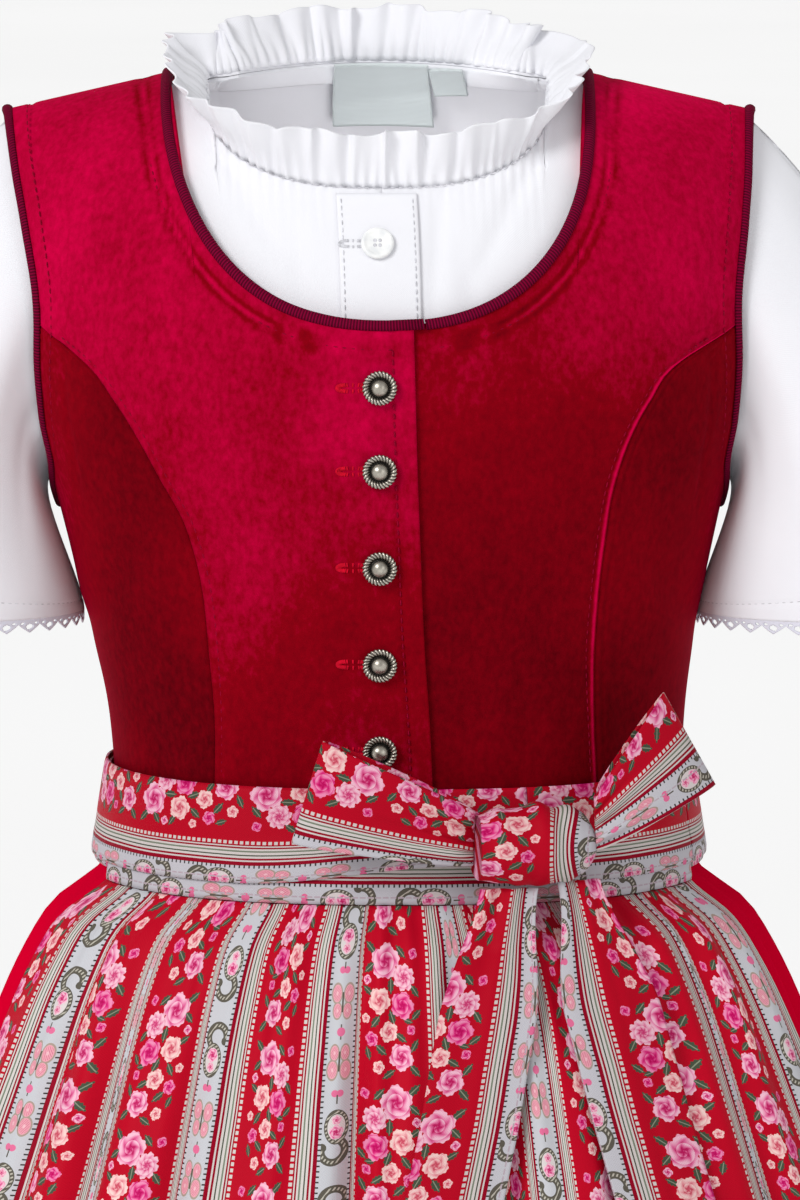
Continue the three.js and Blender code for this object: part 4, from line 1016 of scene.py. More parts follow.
def velvet_relief(half, z, is_back, neck, columns_apart):
    """How far the velvet stands over its plain surface: creases, topstitch grooves, sunk seams."""
    relief = creased(half, z, is_back, BODICE_CREASES, 0.6)
    if neck is not None:
        relief -= 0.55 * bell(neck_distance(neck, half, z), TOPSTITCH["neck"], 1.5)
    arm = ARMHOLE.read("half", np.clip(z, UNDERARM_Z, ARMHOLE_TOP)) - np.abs(half)
    relief -= 0.7 * bell(arm, TOPSTITCH["armhole"], 1.0) * (z > UNDERARM_Z + 4)
    relief -= 0.8 * bell(columns_apart, 0, 1.1)
    return relief - 0.35 * bell(columns_apart, TOPSTITCH["princess"], 0.7)


def painted_pile_light_of(half, z, panel):
    """Painted light and shade of the velvet, by panel and height: each panel painted lighter or darker,
    lighter up the chest, with a painted sheen towards the side panels' outer edges.
    """
    chest = ease(-190, -40, z)
    if panel == "right":
        return 0.53 + 0.22 * chest - 0.1 * bell(half, -40, 20) * bell(z, -215, 45)
    if panel == "left":
        strap = 0.38 * ease(-120, -30, z) * ease(10, 80, half)
        return 0.365 + strap + 0.14 * bell(z, -85, 26) - 0.06 * bell(z, -215, 40)
    if panel == "side":
        return 0.25 + 0.1 * bell(z, -165, 30) + 0.2 * ease(92, 118, np.abs(half))
    return 0.46 + 0.12 * chest + 0.08 * np.sin(half / 17.0)


def seam_distance(first, last, shares, rises, z):
    """Millimetres from each place of a panel to the nearer of its two sides, about."""
    span = np.abs(last(rises) - first(rises)) * FIGURE.read("half", z) * 0.95
    return np.minimum(shares, 1 - shares)[None, :] * span


def velvet_cloth(node, angles, rises, raised, painted_pile_light):
    outer = on_figure(angles, rises, raised)
    inner = on_figure(angles, rises, raised - LAYER["bodice"][1])
    cloth(node, outer, inner, VELVET, "velvet", marks={"painted_pile_light": painted_pile_light})


def velvet_piece(node, first, last, shares, panel, low_count, high_count, neck):
    """A centre panel. Its princess seams are sunk; the edges at the front's middle aren't."""
    is_back = panel == "back"
    angles, rises = panel_grid(first, last, shares, 0.0, low_count, high_count, neck)
    half = half_of(angles, rises)
    z = height_of(angles, rises)
    apart = seam_distance(first, last, shares, rises, z)
    if panel == "right":
        apart = np.where(shares[None, :] < 0.5, apart, NO_SEAM)
    if panel == "left":
        apart = np.where(shares[None, :] > 0.5, apart, NO_SEAM)
    apart = np.where(rises > YOKE_RISE + 0.02, NO_SEAM, apart)
    relief = velvet_relief(half, z, is_back, neck, apart)
    if panel == "right":
        for height in BUTTONS["heights"]:
            at = BUTTONS["across"] - float(FIGURE.read("lean", height))
            gap = np.hypot((half - at + 4.0) / 1.5, z - height)
            relief -= PUCKER["deep"] * bell(gap, PUCKER["wide"], 3.2)
        relief += lap_lift(half) - 0.5 * bell(half, lap_half(z) - TOPSTITCH["lap"], 0.9)
    painted_pile_light = painted_pile_light_of(half, z, panel)
    # A painted highlight along the left panel's princess seam.
    if panel == "left":
        painted_pile_light = painted_pile_light + 0.6 * bell(apart, 1.6, 0.9)
    # Painted shade along two rows beside the neck's topstitch, and a painted highlight on the topstitch's
    # line between them.
    outside = neck_distance(neck, half, z)
    for row in TOPSTITCH["pressed"]:
        painted_pile_light = painted_pile_light - 0.22 * bell(outside, row, 0.9)
    painted_pile_light = painted_pile_light + 0.1 * bell(outside, TOPSTITCH["neck"], 0.8)
    velvet_cloth(node, angles, rises, sum(LAYER["bodice"]) + relief, painted_pile_light)


def make_bodice():
    right = (mirrored(joined(princess_right, armhole_front)), upright(lap_half))
    strap = strap_share(*right, NECK_FRONT["half"], -1)
    velvet_piece("bodice_centre_front_right", *right, strap_first(strap, 38, 74), "right", 64, 46, NECK_FRONT)
    left = (upright(lambda z: UNDERLAP_EDGE + 0 * z), joined(princess_left, armhole_front))
    strap = strap_share(*left, NECK_FRONT["half"], 1)
    velvet_piece("bodice_centre_front_left", *left, strap_last(strap, 38, 74), "left", 64, 46, NECK_FRONT)
    outer_front = side_edge(armhole_front, UNDERARM_RISE)
    outer_back = side_edge(armhole_back, UNDERARM_RISE)
    sides = [
        ("bodice_side_front_right", mirrored(outer_front), mirrored(princess_right), False),
        ("bodice_side_front_left", princess_left, outer_front, False),
        ("bodice_side_back_left", outer_back, princess_back, True),
        ("bodice_side_back_right", mirrored(princess_back, True), mirrored(outer_back, True), True),
    ]
    for node, first, last, is_back in sides:
        velvet_tip(node, first, last, is_back)
    outer = joined(princess_back, armhole_back)
    back = (outer, mirrored(outer, True))
    strap = strap_share(*back, NECK_BACK["half"], 1, True)
    velvet_piece("bodice_centre_back", *back, strap_both(strap, 26, 56), "back", 48, 32, NECK_BACK)


def velvet_tip(node, first, last, is_back):
    """A side panel, which runs out in a point under the armhole."""
    shares = crowded(56)
    rises = np.array([np.full(shares.shape, YOKE_RISE * t) for t in along(74) * 0.9985])
    angles = mix(first(rises), last(rises), shares[None, :])
    half = half_of(angles, rises)
    z = height_of(angles, rises)
    relief = velvet_relief(half, z, is_back, None, seam_distance(first, last, shares, rises, z) + 0.3)
    velvet_cloth(node, angles, rises, sum(LAYER["bodice"]) + relief, painted_pile_light_of(half, z, "side"))


# ---- bindings and stitches -------------------------------------------------------------------------
def rounded_sine(turn, power):
    return np.sign(np.sin(turn)) * np.abs(np.sin(turn)) ** (2 / power)


def neck_place(front, back, turn, grow):
    """Angle and rise of places on a neckline grown outwards."""
    is_back = np.cos(turn) < 0

    def pick(name):
        return np.where(is_back, back[name], front[name])

    size = pick("half") + grow
    half = size * rounded_sine(turn, pick("power"))
    top = SHOULDER["z"] - SHOULDER["fall"] * (size - SHOULDER["inner"])
    share = np.minimum(1, np.abs(half) / size)
    low = pick("low") - grow
    z = top - (top - low) * (1 - share ** pick("power")) ** (1 / pick("power"))
    angle = angle_of(half, z, is_back)
    return angle, rise_of(angle, z)


def neck_turns(count):
    turn = along(count, 0, FULL)
    return turn + 0.38 * np.sin(2 * turn)


ARM_MIDDLE = (170, -75)


def armhole_place(front, back, low, side, turn, lift):
    rise = mix(low, 1, (1 + np.cos(turn)) / 2)
    angle = side * np.where(np.sin(turn) < 0, back(rise), front(rise))
    point = on_figure(angle, rise, lift + 0 * rise)
    normal = figure_normal(angle, rise)
    inwards = np.array([side * ARM_MIDDLE[0], 0, ARM_MIDDLE[1]]) - point
    inwards -= normal * (inwards * normal).sum(-1, keepdims=True)
    return point, normal, unit(inwards)


# A binding's own section: inset from the edge, height over the velvet.
BINDING_SECTION = [
    (-0.7, -1.6), (-0.9, -0.2), (-0.6, 0.7), (0.2, 1.1), (0.8, 1.1), (1.3, 0.9), (1.75, 0.45), (1.85, 0.0),
]
BINDING_THICK = 0.5


def make_bindings():
    turn = np.concatenate([[LAP_TURN], neck_turns(420), [FULL + LAP_TURN * 0.95]])
    turn = np.unique(turn[turn >= LAP_TURN])
    angle0, rise0 = neck_place(NECK_FRONT, NECK_BACK, turn, 0.0)
    raised = np.where(turn > 1.5 * BACK, lap_lift(half_of(angle0, rise0)), 0)
    rows = []
    for inset, height in BINDING_SECTION:
        angle, rise = neck_place(NECK_FRONT, NECK_BACK, turn, inset)
        rows.append(on_figure(angle, rise, height + raised))
    outer = np.array(rows)
    inner = outer - shell_normals(outer) * BINDING_THICK
    cloth("neck_binding", outer, inner, GROSGRAIN, "binding", "laid", uv=binding_uv(outer))
    for side, word in ((-1, "right"), (1, "left")):
        turn = along(300, 0, FULL)[:-1]
        rows = []
        for inset, height in BINDING_SECTION:
            point, _, inwards = armhole_place(armhole_front, armhole_back, UNDERARM_RISE, side, turn, height)
            rows.append(point - inwards * inset)
        outer = np.array(rows)
        inner = outer - shell_normals(outer, True) * BINDING_THICK * side
        cloth(f"armhole_binding_{word}", outer, inner, GROSGRAIN, "binding", "laid", is_loop=True,
              uv=binding_uv(outer))


def shell_normals(grid, is_loop=False):
    """Normals of a grid of points, by its own neighbours."""
    across = np.gradient(grid, axis=1)
    if is_loop:
        across = np.roll(grid, -1, axis=1) - np.roll(grid, 1, axis=1)
    upwards = np.gradient(grid, axis=0)
    return unit(np.cross(across, upwards))


def binding_uv(grid):
    return np.stack(np.meshgrid(run_along(grid[3]), np.arange(len(grid), dtype=float)), -1)


def tube_faces(rows, sides, base=0):
    """Faces between rings of points that are counted row by row."""
    return [
        (base + row * sides + k, base + row * sides + (k + 1) % sides,
         base + (row + 1) * sides + (k + 1) % sides, base + (row + 1) * sides + k)
        for row in range(rows - 1) for k in range(sides)]


# A stitch along its length: share of the way, share of its full width.
STITCH_PROFILE = np.array([(0.0, 0.15), (0.18, 0.85), (0.5, 1.0), (0.82, 0.85), (1.0, 0.15)])
STITCH_SIDES = 6


def stitches(name, path, normals, material, slot, long=2.2, gap=0.9, wide=0.28, proud=0.2):
    """Short threads laid end to end on a path, each a low six-sided bead."""
    run = run_along(path)
    shares, sizes = STITCH_PROFILE.T
    at = np.arange(0, run[-1] - long, long + gap)[:, None] + shares * long

    def read(values, places):
        return np.stack([np.interp(places, run, values[:, k]) for k in range(3)], -1)

    centre = read(path, at)
    normal = read(normals, at)
    sideways = np.cross(unit(read(path, at + 0.2) - centre), normal)
    middle = centre + normal * (proud * np.sin(math.pi * shares))[:, None]
    size = (wide * sizes)[:, None, None]
    turn = along(STITCH_SIDES, 0, FULL)[:-1, None]
    ring = sideways[..., None, :] * np.cos(turn) + normal[..., None, :] * np.sin(turn)
    points = (middle[..., None, :] + ring * size).reshape(-1, 3)
    faces = []
    count = len(shares) * STITCH_SIDES
    for base in range(0, len(points), count):
        faces += tube_faces(len(shares), STITCH_SIDES, base)
        faces.append(tuple(base + k for k in reversed(range(STITCH_SIDES))))
        faces.append(tuple(base + k for k in range(count - STITCH_SIDES, count)))
    root_piece(mesh_object(name, points, faces, [True] * len(faces), material))


def wine_stitches(name, path, normals):
    stitches(name, path, normals, WINE_THREAD, "velvet")


def white_stitches(name, path, normals, *size):
    stitches(name, path, normals, WHITE_THREAD, "blouse_cotton", *size)


def figure_path(halves, heights, lift, is_back=False):
    angle = angle_of(halves, heights, is_back)
    rise = rise_of(angle, heights)
    return on_figure(angle, rise, lift + 0 * rise), figure_normal(angle, rise)


def smoothed(path, reach=5):
    """A run of points with each one drawn to the mean of its neighbours."""
    padded = np.concatenate([np.repeat(path[:1], reach, 0), path, np.repeat(path[-1:], reach, 0)])
    window = np.ones(2 * reach + 1) / (2 * reach + 1)
    return np.stack([np.convolve(padded[:, k], window, "valid") for k in range(3)], -1)


def make_topstitching():
    turn = along(700, LAP_TURN + 0.02, FULL + LAP_TURN * 0.6)
    angle, rise = neck_place(NECK_FRONT, NECK_BACK, turn, TOPSTITCH["neck"])
    raised = np.where(turn > 1.5 * BACK, lap_lift(half_of(angle, rise)), 0)
    path = smoothed(on_figure(angle, rise, -0.8 + raised))
    wine_stitches("neck_topstitch", path, smoothed(figure_normal(angle, rise)))
    for side, word in ((-1, "right"), (1, "left")):
        turn = along(400, 0.8, FULL - 0.8)
        point, normal, inwards = armhole_place(armhole_front, armhole_back, UNDERARM_RISE, side, turn, -0.6)
        path = point - inwards * TOPSTITCH["armhole"]
        wine_stitches(f"armhole_topstitch_{word}", path, normal)
    z = along(300, WAIST_Z + 26, NECK_FRONT["low"] - 8)
    path, normals = figure_path(lap_half(z) - TOPSTITCH["lap"], z, lap_lift(0.0) - 0.35)
    wine_stitches("lap_topstitch", path, normals)
    for column, side in (("right", -1), ("left", 1)):
        z = along(300, WAIST_Z + 26, -84)
        half = PRINCESS_FRONT.read(column, z) - TOPSTITCH["princess"]
        path, normals = figure_path(side * half, z, -0.3)
        wine_stitches(f"princess_topstitch_{column}", path, normals)


# ---- buttons ---------------------------------------------------------------------------------------
def frame_on_figure(half, z, lift):
    angle = angle_of(half, z)
    rise = rise_of(angle, z)
    point = on_figure(angle, rise, lift)
    normal = figure_normal(angle, rise)
    across = unit(np.cross([0, 0, 1.0], normal))
    return point, np.stack([across, np.cross(normal, across), normal])


def turned(name, rings, sides, point, axes, material, nodes, twist=None, marks=None):
    """A turned form from rings of radius and height; twist adds waves that wind round it."""
    turn = along(sides, 0, FULL)[:-1]
    rows = []
    for k, (radius, height) in enumerate(rings):
        extra = twist(k, turn) if twist else 0 * turn
        wide = radius + extra * 0.5
        rows.append(np.stack([wide * np.cos(turn), wide * np.sin(turn), height + extra], -1))
    ends = np.array([[0, 0, rings[0][1]], [0, 0, rings[-1][1]]])
    points = point + np.concatenate(rows + [ends]) @ axes
    count = len(rings) * sides
    last = count - sides
    faces = tube_faces(len(rings), sides)
    faces += [(count, (k + 1) % sides, k) for k in range(sides)]
    faces += [(count + 1, last + k, last + (k + 1) % sides) for k in range(sides)]
    values = None
    if marks is not None:
        hollow = [marks(k, turn) for k in range(len(rings))]
        values = {"hollow": np.concatenate(hollow + [[0.5, 0.0]])}
    obj = mesh_object(name, points, faces, [True] * len(faces), material, marks=values)
    root_piece(obj, nodes)


ROPE_TWISTS = 26
ROPE_SLANT = 1.25
# Rings of a metal button from its back to its crown: radius, height, how far it is a rope, how hollow.
BUTTON_RINGS = [
    (4.6, 0.0, 0, 0.9), (5.3, 0.5, 0.2, 0.7), (5.8, 1.1, 0.7, 0.3), (5.9, 1.6, 1, 0.12),
    (5.65, 2.05, 1, 0.06), (5.2, 2.3, 1, 0.06), (4.7, 2.3, 1, 0.1), (4.15, 2.05, 1, 0.2),
    (3.7, 1.65, 0.7, 0.5), (3.35, 1.35, 0.2, 1.0), (3.05, 1.45, 0, 0.85), (2.95, 2.0, 0, 0.4),
    (2.6, 2.8, 0, 0.3), (1.9, 3.45, 0, 0.24), (1.0, 3.85, 0, 0.18), (0.3, 4.0, 0, 0.15),
]
PEARL_RINGS = [
    (5.2, 0.0), (5.7, 0.4), (5.8, 0.9), (5.6, 1.4), (5.1, 1.75), (4.5, 1.7), (4.0, 1.35), (3.6, 1.2),
    (1.6, 1.2), (0.5, 1.2),
]


def make_buttons():
    lift = sum(LAYER["lap"]) + 0.1
    rings = [(radius, height) for radius, height, _, _ in BUTTON_RINGS]

    def strands(k, turn):
        return np.sin(ROPE_TWISTS * turn + k * ROPE_SLANT)

    def rope(k, turn):
        return BUTTON_RINGS[k][2] * 0.3 * strands(k, turn)

    def hollow(k, turn):
        return BUTTON_RINGS[k][3] + BUTTON_RINGS[k][2] * 0.8 * ease(0.1, -0.9, strands(k, turn))

    for i, z in enumerate(BUTTONS["heights"], 1):
        half = BUTTONS["across"] - float(FIGURE.read("lean", z))
        point, axes = frame_on_figure(half, z, lift)
        turned(f"button_{i}_metal", rings, 156, point, axes, SILVER, (f"button_{i}",),
               rope, hollow)
        make_buttonhole(f"buttonhole_{i}", half - 9.2, z, 10.5, lift - 0.15, RED_THREAD)
    z = BLOUSE_BUTTON["z"]
    lift = sum(LAYER["placket"])
    half = BLOUSE_BUTTON["across"] - float(FIGURE.read("lean", z))
    make_pearl_button(*frame_on_figure(half, z, lift + 0.2))
    make_buttonhole("blouse_buttonhole", half - 8.5, z, 9, lift - 0.1, WHITE_THREAD)


def make_pearl_button(point, axes):
    turned("pearl_button_body", PEARL_RINGS, 48, point, axes, PEARL, ("blouse_button",))
    for k in range(4):
        turn = SIDE * k + SIDE / 2
        place = point + np.array([1.25 * math.cos(turn), 1.25 * math.sin(turn), 1.0]) @ axes
        turned(f"pearl_button_eye_{k + 1}", [(0.62, 0), (0.66, 0.24), (0.4, 0.3)], 14, place, axes,
               WHITE_THREAD, ())


def make_buttonhole(name, half, z, long, lift, material):
    """A worked buttonhole: a close row of threads round a slit."""
    turn = along(44, 0, FULL)[:-1]
    halves = half + np.sign(np.cos(turn)) * np.abs(np.cos(turn)) ** 0.5 * (long / 2)
    path, normals = figure_path(halves, z + np.sin(turn) * 1.05, lift)
    middle, _ = figure_path(0 * turn + half, 0 * turn + z, lift)
    # Threads stand across the slit along its sides, and turn with it round both ends.
    across = (path - middle) * np.array([0.1, 0.1, 1.0])
    is_side = np.linalg.norm(across, axis=-1, keepdims=True) > 0.2
    outwards = np.where(is_side, unit(across), unit(path - middle))
    sideways = np.cross(outwards, normals) * 0.3
    rows = [
        path + outwards * share + sideways * sign + normals * high
        for share, high in ((-0.75, 0.0), (-0.4, 0.38), (0.3, 0.38), (0.75, 0.0)) for sign in (-1, 1)]
    points = np.stack(rows, 1).reshape(-1, 3)
    starts = [base + 2 * row for base in range(0, len(points), len(rows)) for row in range(3)]
    faces = [(a, a + 1, a + 3, a + 2) for a in starts]
    root_piece(mesh_object(name, points, faces, [True] * len(faces), material))


# ---- blouse ----------------------------------------------------------------------------------------
def raised_underarm(z):
    return ARMHOLE_TOP + (z - ARMHOLE_TOP) * SLEEVE["start"]


blouse_arm_front = edge(ARMHOLE, "half", False, raised_underarm)
blouse_arm_back = edge(ARMHOLE, "half", True, raised_underarm)
BLOUSE_UNDERARM = float(rise_of(SIDE, raised_underarm(UNDERARM_Z)))
BLOUSE_HEM = float(rise_of(SIDE, -175.0))
PLACKET_HALVES = (-16, 12)
# Soft creases of the blouse where it shows in the neckline, as on the bodice.
BLOUSE_CREASES = [
    (18, -50, 84, 26, 3.2, 0.9), (40, -44, 60, 20, 3.6, 0.8), (-44, -40, 120, 22, 4, 0.9),
    (-30, -60, 96, 20, 4, 0.7), (52, -24, 48, 16, 3.2, 0.8), (-56, -18, 130, 16, 3.2, 0.8),
    (4, -66, 80, 18, 3, 0.6), (30, -72, 100, 20, 4, 0.6),
]


def blouse_piece(node, first, last, shares, neck, is_back=False):
    angles, rises = panel_grid(first, last, shares, BLOUSE_HEM, 30, 40, neck)
    half = half_of(angles, rises)
    z = height_of(angles, rises)
    lift, thick = LAYER["blouse"]
    gap = np.maximum(0, neck_distance(neck, half, z))
    gathers = 0.35 * np.sin(half * 1.7) * np.exp(-gap / 9) * (not is_back)
    relief = creased(half, z, is_back, BLOUSE_CREASES) + gathers
    outer = on_figure(angles, rises, lift + thick + relief)
    inner = on_figure(angles, rises, lift + relief)
    cloth(node, outer, inner, WHITE, "blouse_cotton")


def make_blouse():
    outer_front = side_edge(blouse_arm_front, BLOUSE_UNDERARM)
    outer_back = side_edge(blouse_arm_back, BLOUSE_UNDERARM)
    middle = upright(lambda z: 0 * z)
    right = (mirrored(outer_front), middle)
    left = (middle, outer_front)
    back = (outer_back, mirrored(outer_back, True))
    strap = strap_share(*right, COLLAR_FRONT["half"], -1)
    blouse_piece("blouse_front_right", *right, strap_first(strap, 20, 60), COLLAR_FRONT)
    strap = strap_share(*left, COLLAR_FRONT["half"], 1)
    blouse_piece("blouse_front_left", *left, strap_last(strap, 20, 60), COLLAR_FRONT)
    strap = strap_share(*back, COLLAR_BACK["half"], 1, True)
    blouse_piece("blouse_back", *back, strap_both(strap, 14, 40), COLLAR_BACK, True)


def patch(node, halves, heights, counts, layer, material, slot, tilt=0.0, is_back=False, crease=0.0):
    """An oblong of cloth laid on the figure, with its edges pressed down and a crease across it."""
    p, q = np.meshgrid(*[along(count) for count in counts])
    z = mix(*heights, q) + tilt * (p - 0.5)
    half = mix(*halves, p) + tilt * (0.5 - q)
    angle = angle_of(half, z, is_back)
    rise = rise_of(angle, z)
    from_side = np.minimum(p, 1 - p) * abs(halves[1] - halves[0])
    from_end = np.minimum(q, 1 - q) * abs(heights[1] - heights[0])
    dip = 0.35 * np.exp(-np.minimum(from_side, from_end) / 0.6) + crease * bell(q, 0.35 + 0.2 * p, 0.12)
    outer = on_figure(angle, rise, sum(layer) - dip)
    inner = on_figure(angle, rise, layer[0] - dip * 0.5)
    cloth(node, outer, inner, material, slot, "laid", uv=np.stack([half, z], -1))


def make_blouse_trim():
    cotton = (WHITE, "blouse_cotton")
    patch("blouse_placket", PLACKET_HALVES, (-112, -31.5), (40, 60), LAYER["placket"], *cotton, crease=0.2)
    label = (LAYER["label"], LABEL, "label")
    patch("neck_label", (-19, 22), (-10, 15.5), (40, 24), *label, is_back=True, crease=-0.6)
    patch("size_tab", (23, 35.5), (3.5, 14.5), (20, 16), *label, 1.4, True)
    for offset, word in ((1.6, "right"), (26.4, "left")):
        z = along(200, -106, -33)
        path, normals = figure_path(0 * z + PLACKET_HALVES[0] + offset, z, sum(LAYER["placket"]))
        white_stitches(f"placket_stitch_{word}", path, normals, 2.0, 0.8, 0.22, 0.15)
    turn = neck_turns(300)[:-1]
    lift, thick = LAYER["neckband"]
    outer, inner = [], []
    for grow in (5.8, 5.2, 3.0, 0.8, 0.2):
        angle, rise = neck_place(COLLAR_FRONT, COLLAR_BACK, turn, grow)
        puff = 0.25 * math.sin(math.pi * (grow - 0.2) / 5.6)
        lean = 2.3 * ease(3.0, 0.2, grow)
        outer.append(on_figure(angle, rise, lift + thick + puff + lean + 0 * rise))
        inner.append(on_figure(angle, rise, lift + lean + 0 * rise))
    cloth("blouse_neckband", np.array(outer), np.array(inner), *cotton, "laid", is_loop=True)


def neck_seam(count, grow, lift):
    turn = along(count, 0, FULL)
    angle, rise = neck_place(COLLAR_FRONT, COLLAR_BACK, turn, grow)
    return on_figure(angle, rise, lift + 0 * rise)


def closed_curve(points):
    """A closed run of points by share of its length."""
    run = run_along(points)
    knots = along(72)
    smooth = np.stack([np.interp(knots, run / run[-1], points[:, k]) for k in range(3)], -1)[:-1]
    kernel = (np.roll(smooth, 1, 0) + 2 * smooth + np.roll(smooth, -1, 0)) / 4
    closed = np.concatenate([kernel, kernel[:1]])
    fine = Table(("x", "y", "z"), np.column_stack([
        np.concatenate([knots[:-1] - 1, knots, knots[1:] + 1]),
        np.concatenate([closed[:-1], closed, closed[1:]]),
    ]))
    return lambda t: np.stack([fine.read(name, t) for name in ("x", "y", "z")], -1)


# Rows of the frill, from its seam to its free edge.
FRILL_ROWS = np.array([0, 0.06, 0.13, 0.22, 0.34, 0.48, 0.62, 0.76, 0.88, 0.96, 1.0])[:, None]
FRILL_COLUMNS = 1120


def make_frill():
    seam = closed_curve(neck_seam(720, 0.0, LAYER["blouse"][0] + LAYER["blouse"][1] / 2))
    t = along(FRILL_COLUMNS)[:-1]
    q = FRILL_ROWS
    tangent = seam(t + 0.0004) - seam(t - 0.0004)
    out = unit(np.stack([tangent[:, 1], -tangent[:, 0], 0 * t], -1))

    def swing(times, shift=0.0):
        return np.sin(FULL * times * t + shift)

    flare = mix(FRILL["front"], FRILL["side"], swing(1) ** 2) * ease(-0.6, 0.6, q)
    # Waves drift in spacing and size, gathers stand at the seam and slant, and the edge flops over unevenly.
    drift = 0.9 * swing(3, 0.8) + 0.7 * swing(7, 2.1)
    size = 0.8 + 0.6 * swing(5, 1.3) * swing(11)
    wave = mix(FRILL["base"], FRILL["top"] * 0.8, q ** 0.8) * size * swing(FRILL["waves"], drift)
    slant = 1.5 * q * swing(13)
    folds = 0.22 * (0.3 + q) * swing(57, 2.2 * swing(6) + slant)
    flop = 1.3 * q * q * swing(17, 0.5) * swing(29, 1.1)
    gathers = 0.55 * swing(FRILL["pleats"], 1.9 * swing(9) + slant * 1.4) * np.exp(-q * 2.6)
    uneven = 0.06 * swing(13, 0.3) + 0.025 * swing(37, 1.0)
    reach = FRILL["seat"] + FRILL["height"] * q * (1 + uneven) + FRILL["root"] * np.exp(-q * 12)
    sway = 1.1 * q * swing(31, 2.4)
    lifted = reach * np.sin(flare) + wave + folds + flop + gathers
    outer = seam(t) + out * lifted[..., None] + np.cross([0, 0, 1.0], out) * sway[..., None]
    outer[..., 2] += reach * np.cos(flare)
    normal = shell_normals(outer, True)
    facing = 1.0 if (normal * out).sum() > 0 else -1.0
    inner = outer - normal * FRILL["thick"] * facing
    cloth("blouse_frill_collar", outer, inner, WHITE, "blouse_cotton", "gathered", is_loop=True)
    path = seam(along(900)) + np.array([0, 0, 0.6])
    normals = np.concatenate([out, out[:1]])[np.linspace(0, len(t), 901).astype(int)]
    path = path + normals * 0.75
    white_stitches("frill_stitch", path, normals, 2.0, 0.9, 0.22, 0.1)


# ---- sleeves ---------------------------------------------------------------------------------------
# Where the hem's stitching runs, as a share of the way down the sleeve.
HEM_STITCH = 0.935


def sleeve_surface(side):
    """A sleeve's outer face: turn runs round the arm, t from the armhole to the hem."""
    lift = sum(LAYER["blouse"])
    lean = float(FIGURE.read("lean", UNDERARM_Z))

    def surface(turn, t):
        point, _, inwards = armhole_place(
            blouse_arm_front, blouse_arm_back, BLOUSE_UNDERARM, side, turn, lift)
        under = (1 - np.cos(turn)) / 2
        forward = np.sin(turn)

        def step(name):
            return mix(*SLEEVE[name], under)

        start = point + inwards * SLEEVE["clear"]
        hem_x = lean + side * (SLEEVE["hem_x"] + SLEEVE["hem_half"] * np.cos(turn))
        hem = np.stack([hem_x, -SLEEVE["hem_depth"] * forward, SLEEVE["hem_z"] + 0 * turn], -1)
        first = start + inwards * step("inwards")[..., None]
        first += np.stack([side * step("out"), -SLEEVE["forward"] * forward, -step("down")], -1)
        second = hem + np.stack(
            [side * step("hem_out"), -SLEEVE["hem_forward"] * forward, step("hem_up")], -1)
        flow = np.clip(t, 0, 1)
        s, r = flow[..., None], 1 - flow[..., None]
        place = r ** 3 * start + 3 * r ** 2 * s * first + 3 * r * s * s * second + s ** 3 * hem
        gathered = (1 - under) * (1 - t) * np.sin(math.pi * np.clip(t * SLEEVE["share"], 0, 1))
        fine = 0.45 * np.sin(46 * turn + 2 * np.sin(5 * turn))
        fine = fine * np.exp(-t * 14) * (1 - under) * ease(0, 0.03, t)
        drape = 1.3 * ease(0.15, 0.6, t) * ease(1, 0.9, t) * np.sin(5 * turn + 0.7) * np.sin(math.pi * flow)
        groove = -0.35 * bell(t, HEM_STITCH, 0.006)
        out = unit(np.stack([place[..., 0] - side * SLEEVE["arm_x"], place[..., 1], 0 * turn], -1))
        lifted = SLEEVE["deep"] * gathered * np.sin(SLEEVE["gathers"] * turn) + fine + drape + groove
        return place + out * lifted[..., None]

    return surface


def make_sleeves():
    for side, word in ((-1, "right"), (1, "left")):
        surface = sleeve_surface(side)
        flow = np.unique(np.concatenate([along(20) ** 1.6, along(14, 0.86, 1)]))
        turn, t = np.meshgrid(along(184, 0, FULL)[:-1], flow)
        outer = surface(turn, t)
        normal = normal_of(surface, turn, np.clip(t, 0.005, 0.995)) * side
        inner = outer - normal * SLEEVE["thick"]
        cloth(f"blouse_sleeve_{word}", outer, inner, WHITE, "blouse_cotton", is_loop=True)
        around = along(700, 0, FULL)
        level = np.full(around.shape, HEM_STITCH)
        normals = normal_of(surface, around, level) * side
        white_stitches(f"sleeve_hem_stitch_{word}", surface(around, level), normals, 1.9, 0.8, 0.2, 0.1)
        make_lace(word, surface)


def make_lace(word, surface):
    """Pointed edging under the hem, with its eyelets cut through."""
    columns, rows = LACE["grid"]
    turn = along(columns, 0, FULL)[:-1]
    top = surface(turn, np.ones(turn.shape))
    inwards = unit(top.mean(axis=0) - top)
    phase = (turn / FULL * LACE["points"]) % 1.0
    point_share = 1 - np.abs(2 * phase - 1)
    deep = mix(LACE["rim"], LACE["deep"], point_share ** 0.85)
    q = along(rows - 1)[:, None]
    outer = top[None] + np.zeros((rows, 1, 1))
    outer[..., 2] += 0.2 - (deep + 0.2)[None] * q
    inner = outer + inwards[None] * LACE["thick"]
    cell_phase = (phase[None] + 0.5 / (columns / LACE["points"])) % 1.0 + 0 * q[:-1]
    drop = deep[None] * (q[:-1] + q[1:]) / 2
    width = (cell_phase - 0.5) * 9.0
    main = np.hypot(width / 1.5, (drop - 2.5) / 0.95) < 1
    upper = np.hypot((np.abs(width) - 2.9) / 0.75, (drop - 1.35) / 0.42) < 1
    cut = main | upper
    cloth(f"sleeve_lace_{word}", outer, inner, LACE_MATERIAL, "lace", is_loop=True, holes=cut)


# ---- skirt and apron -------------------------------------------------------------------------------
def skirt_base(angle, z):
    half, front, back = (SKIRT.read(name, z) for name in ("half", "front", "back"))
    return section(angle, half, front, back, 0.0, z)


def skirt_out(angle, z):
    """Level normals of the skirt."""
    return unit(normal_of(skirt_base, angle, z) * np.array([1.0, 1.0, 0.0]))


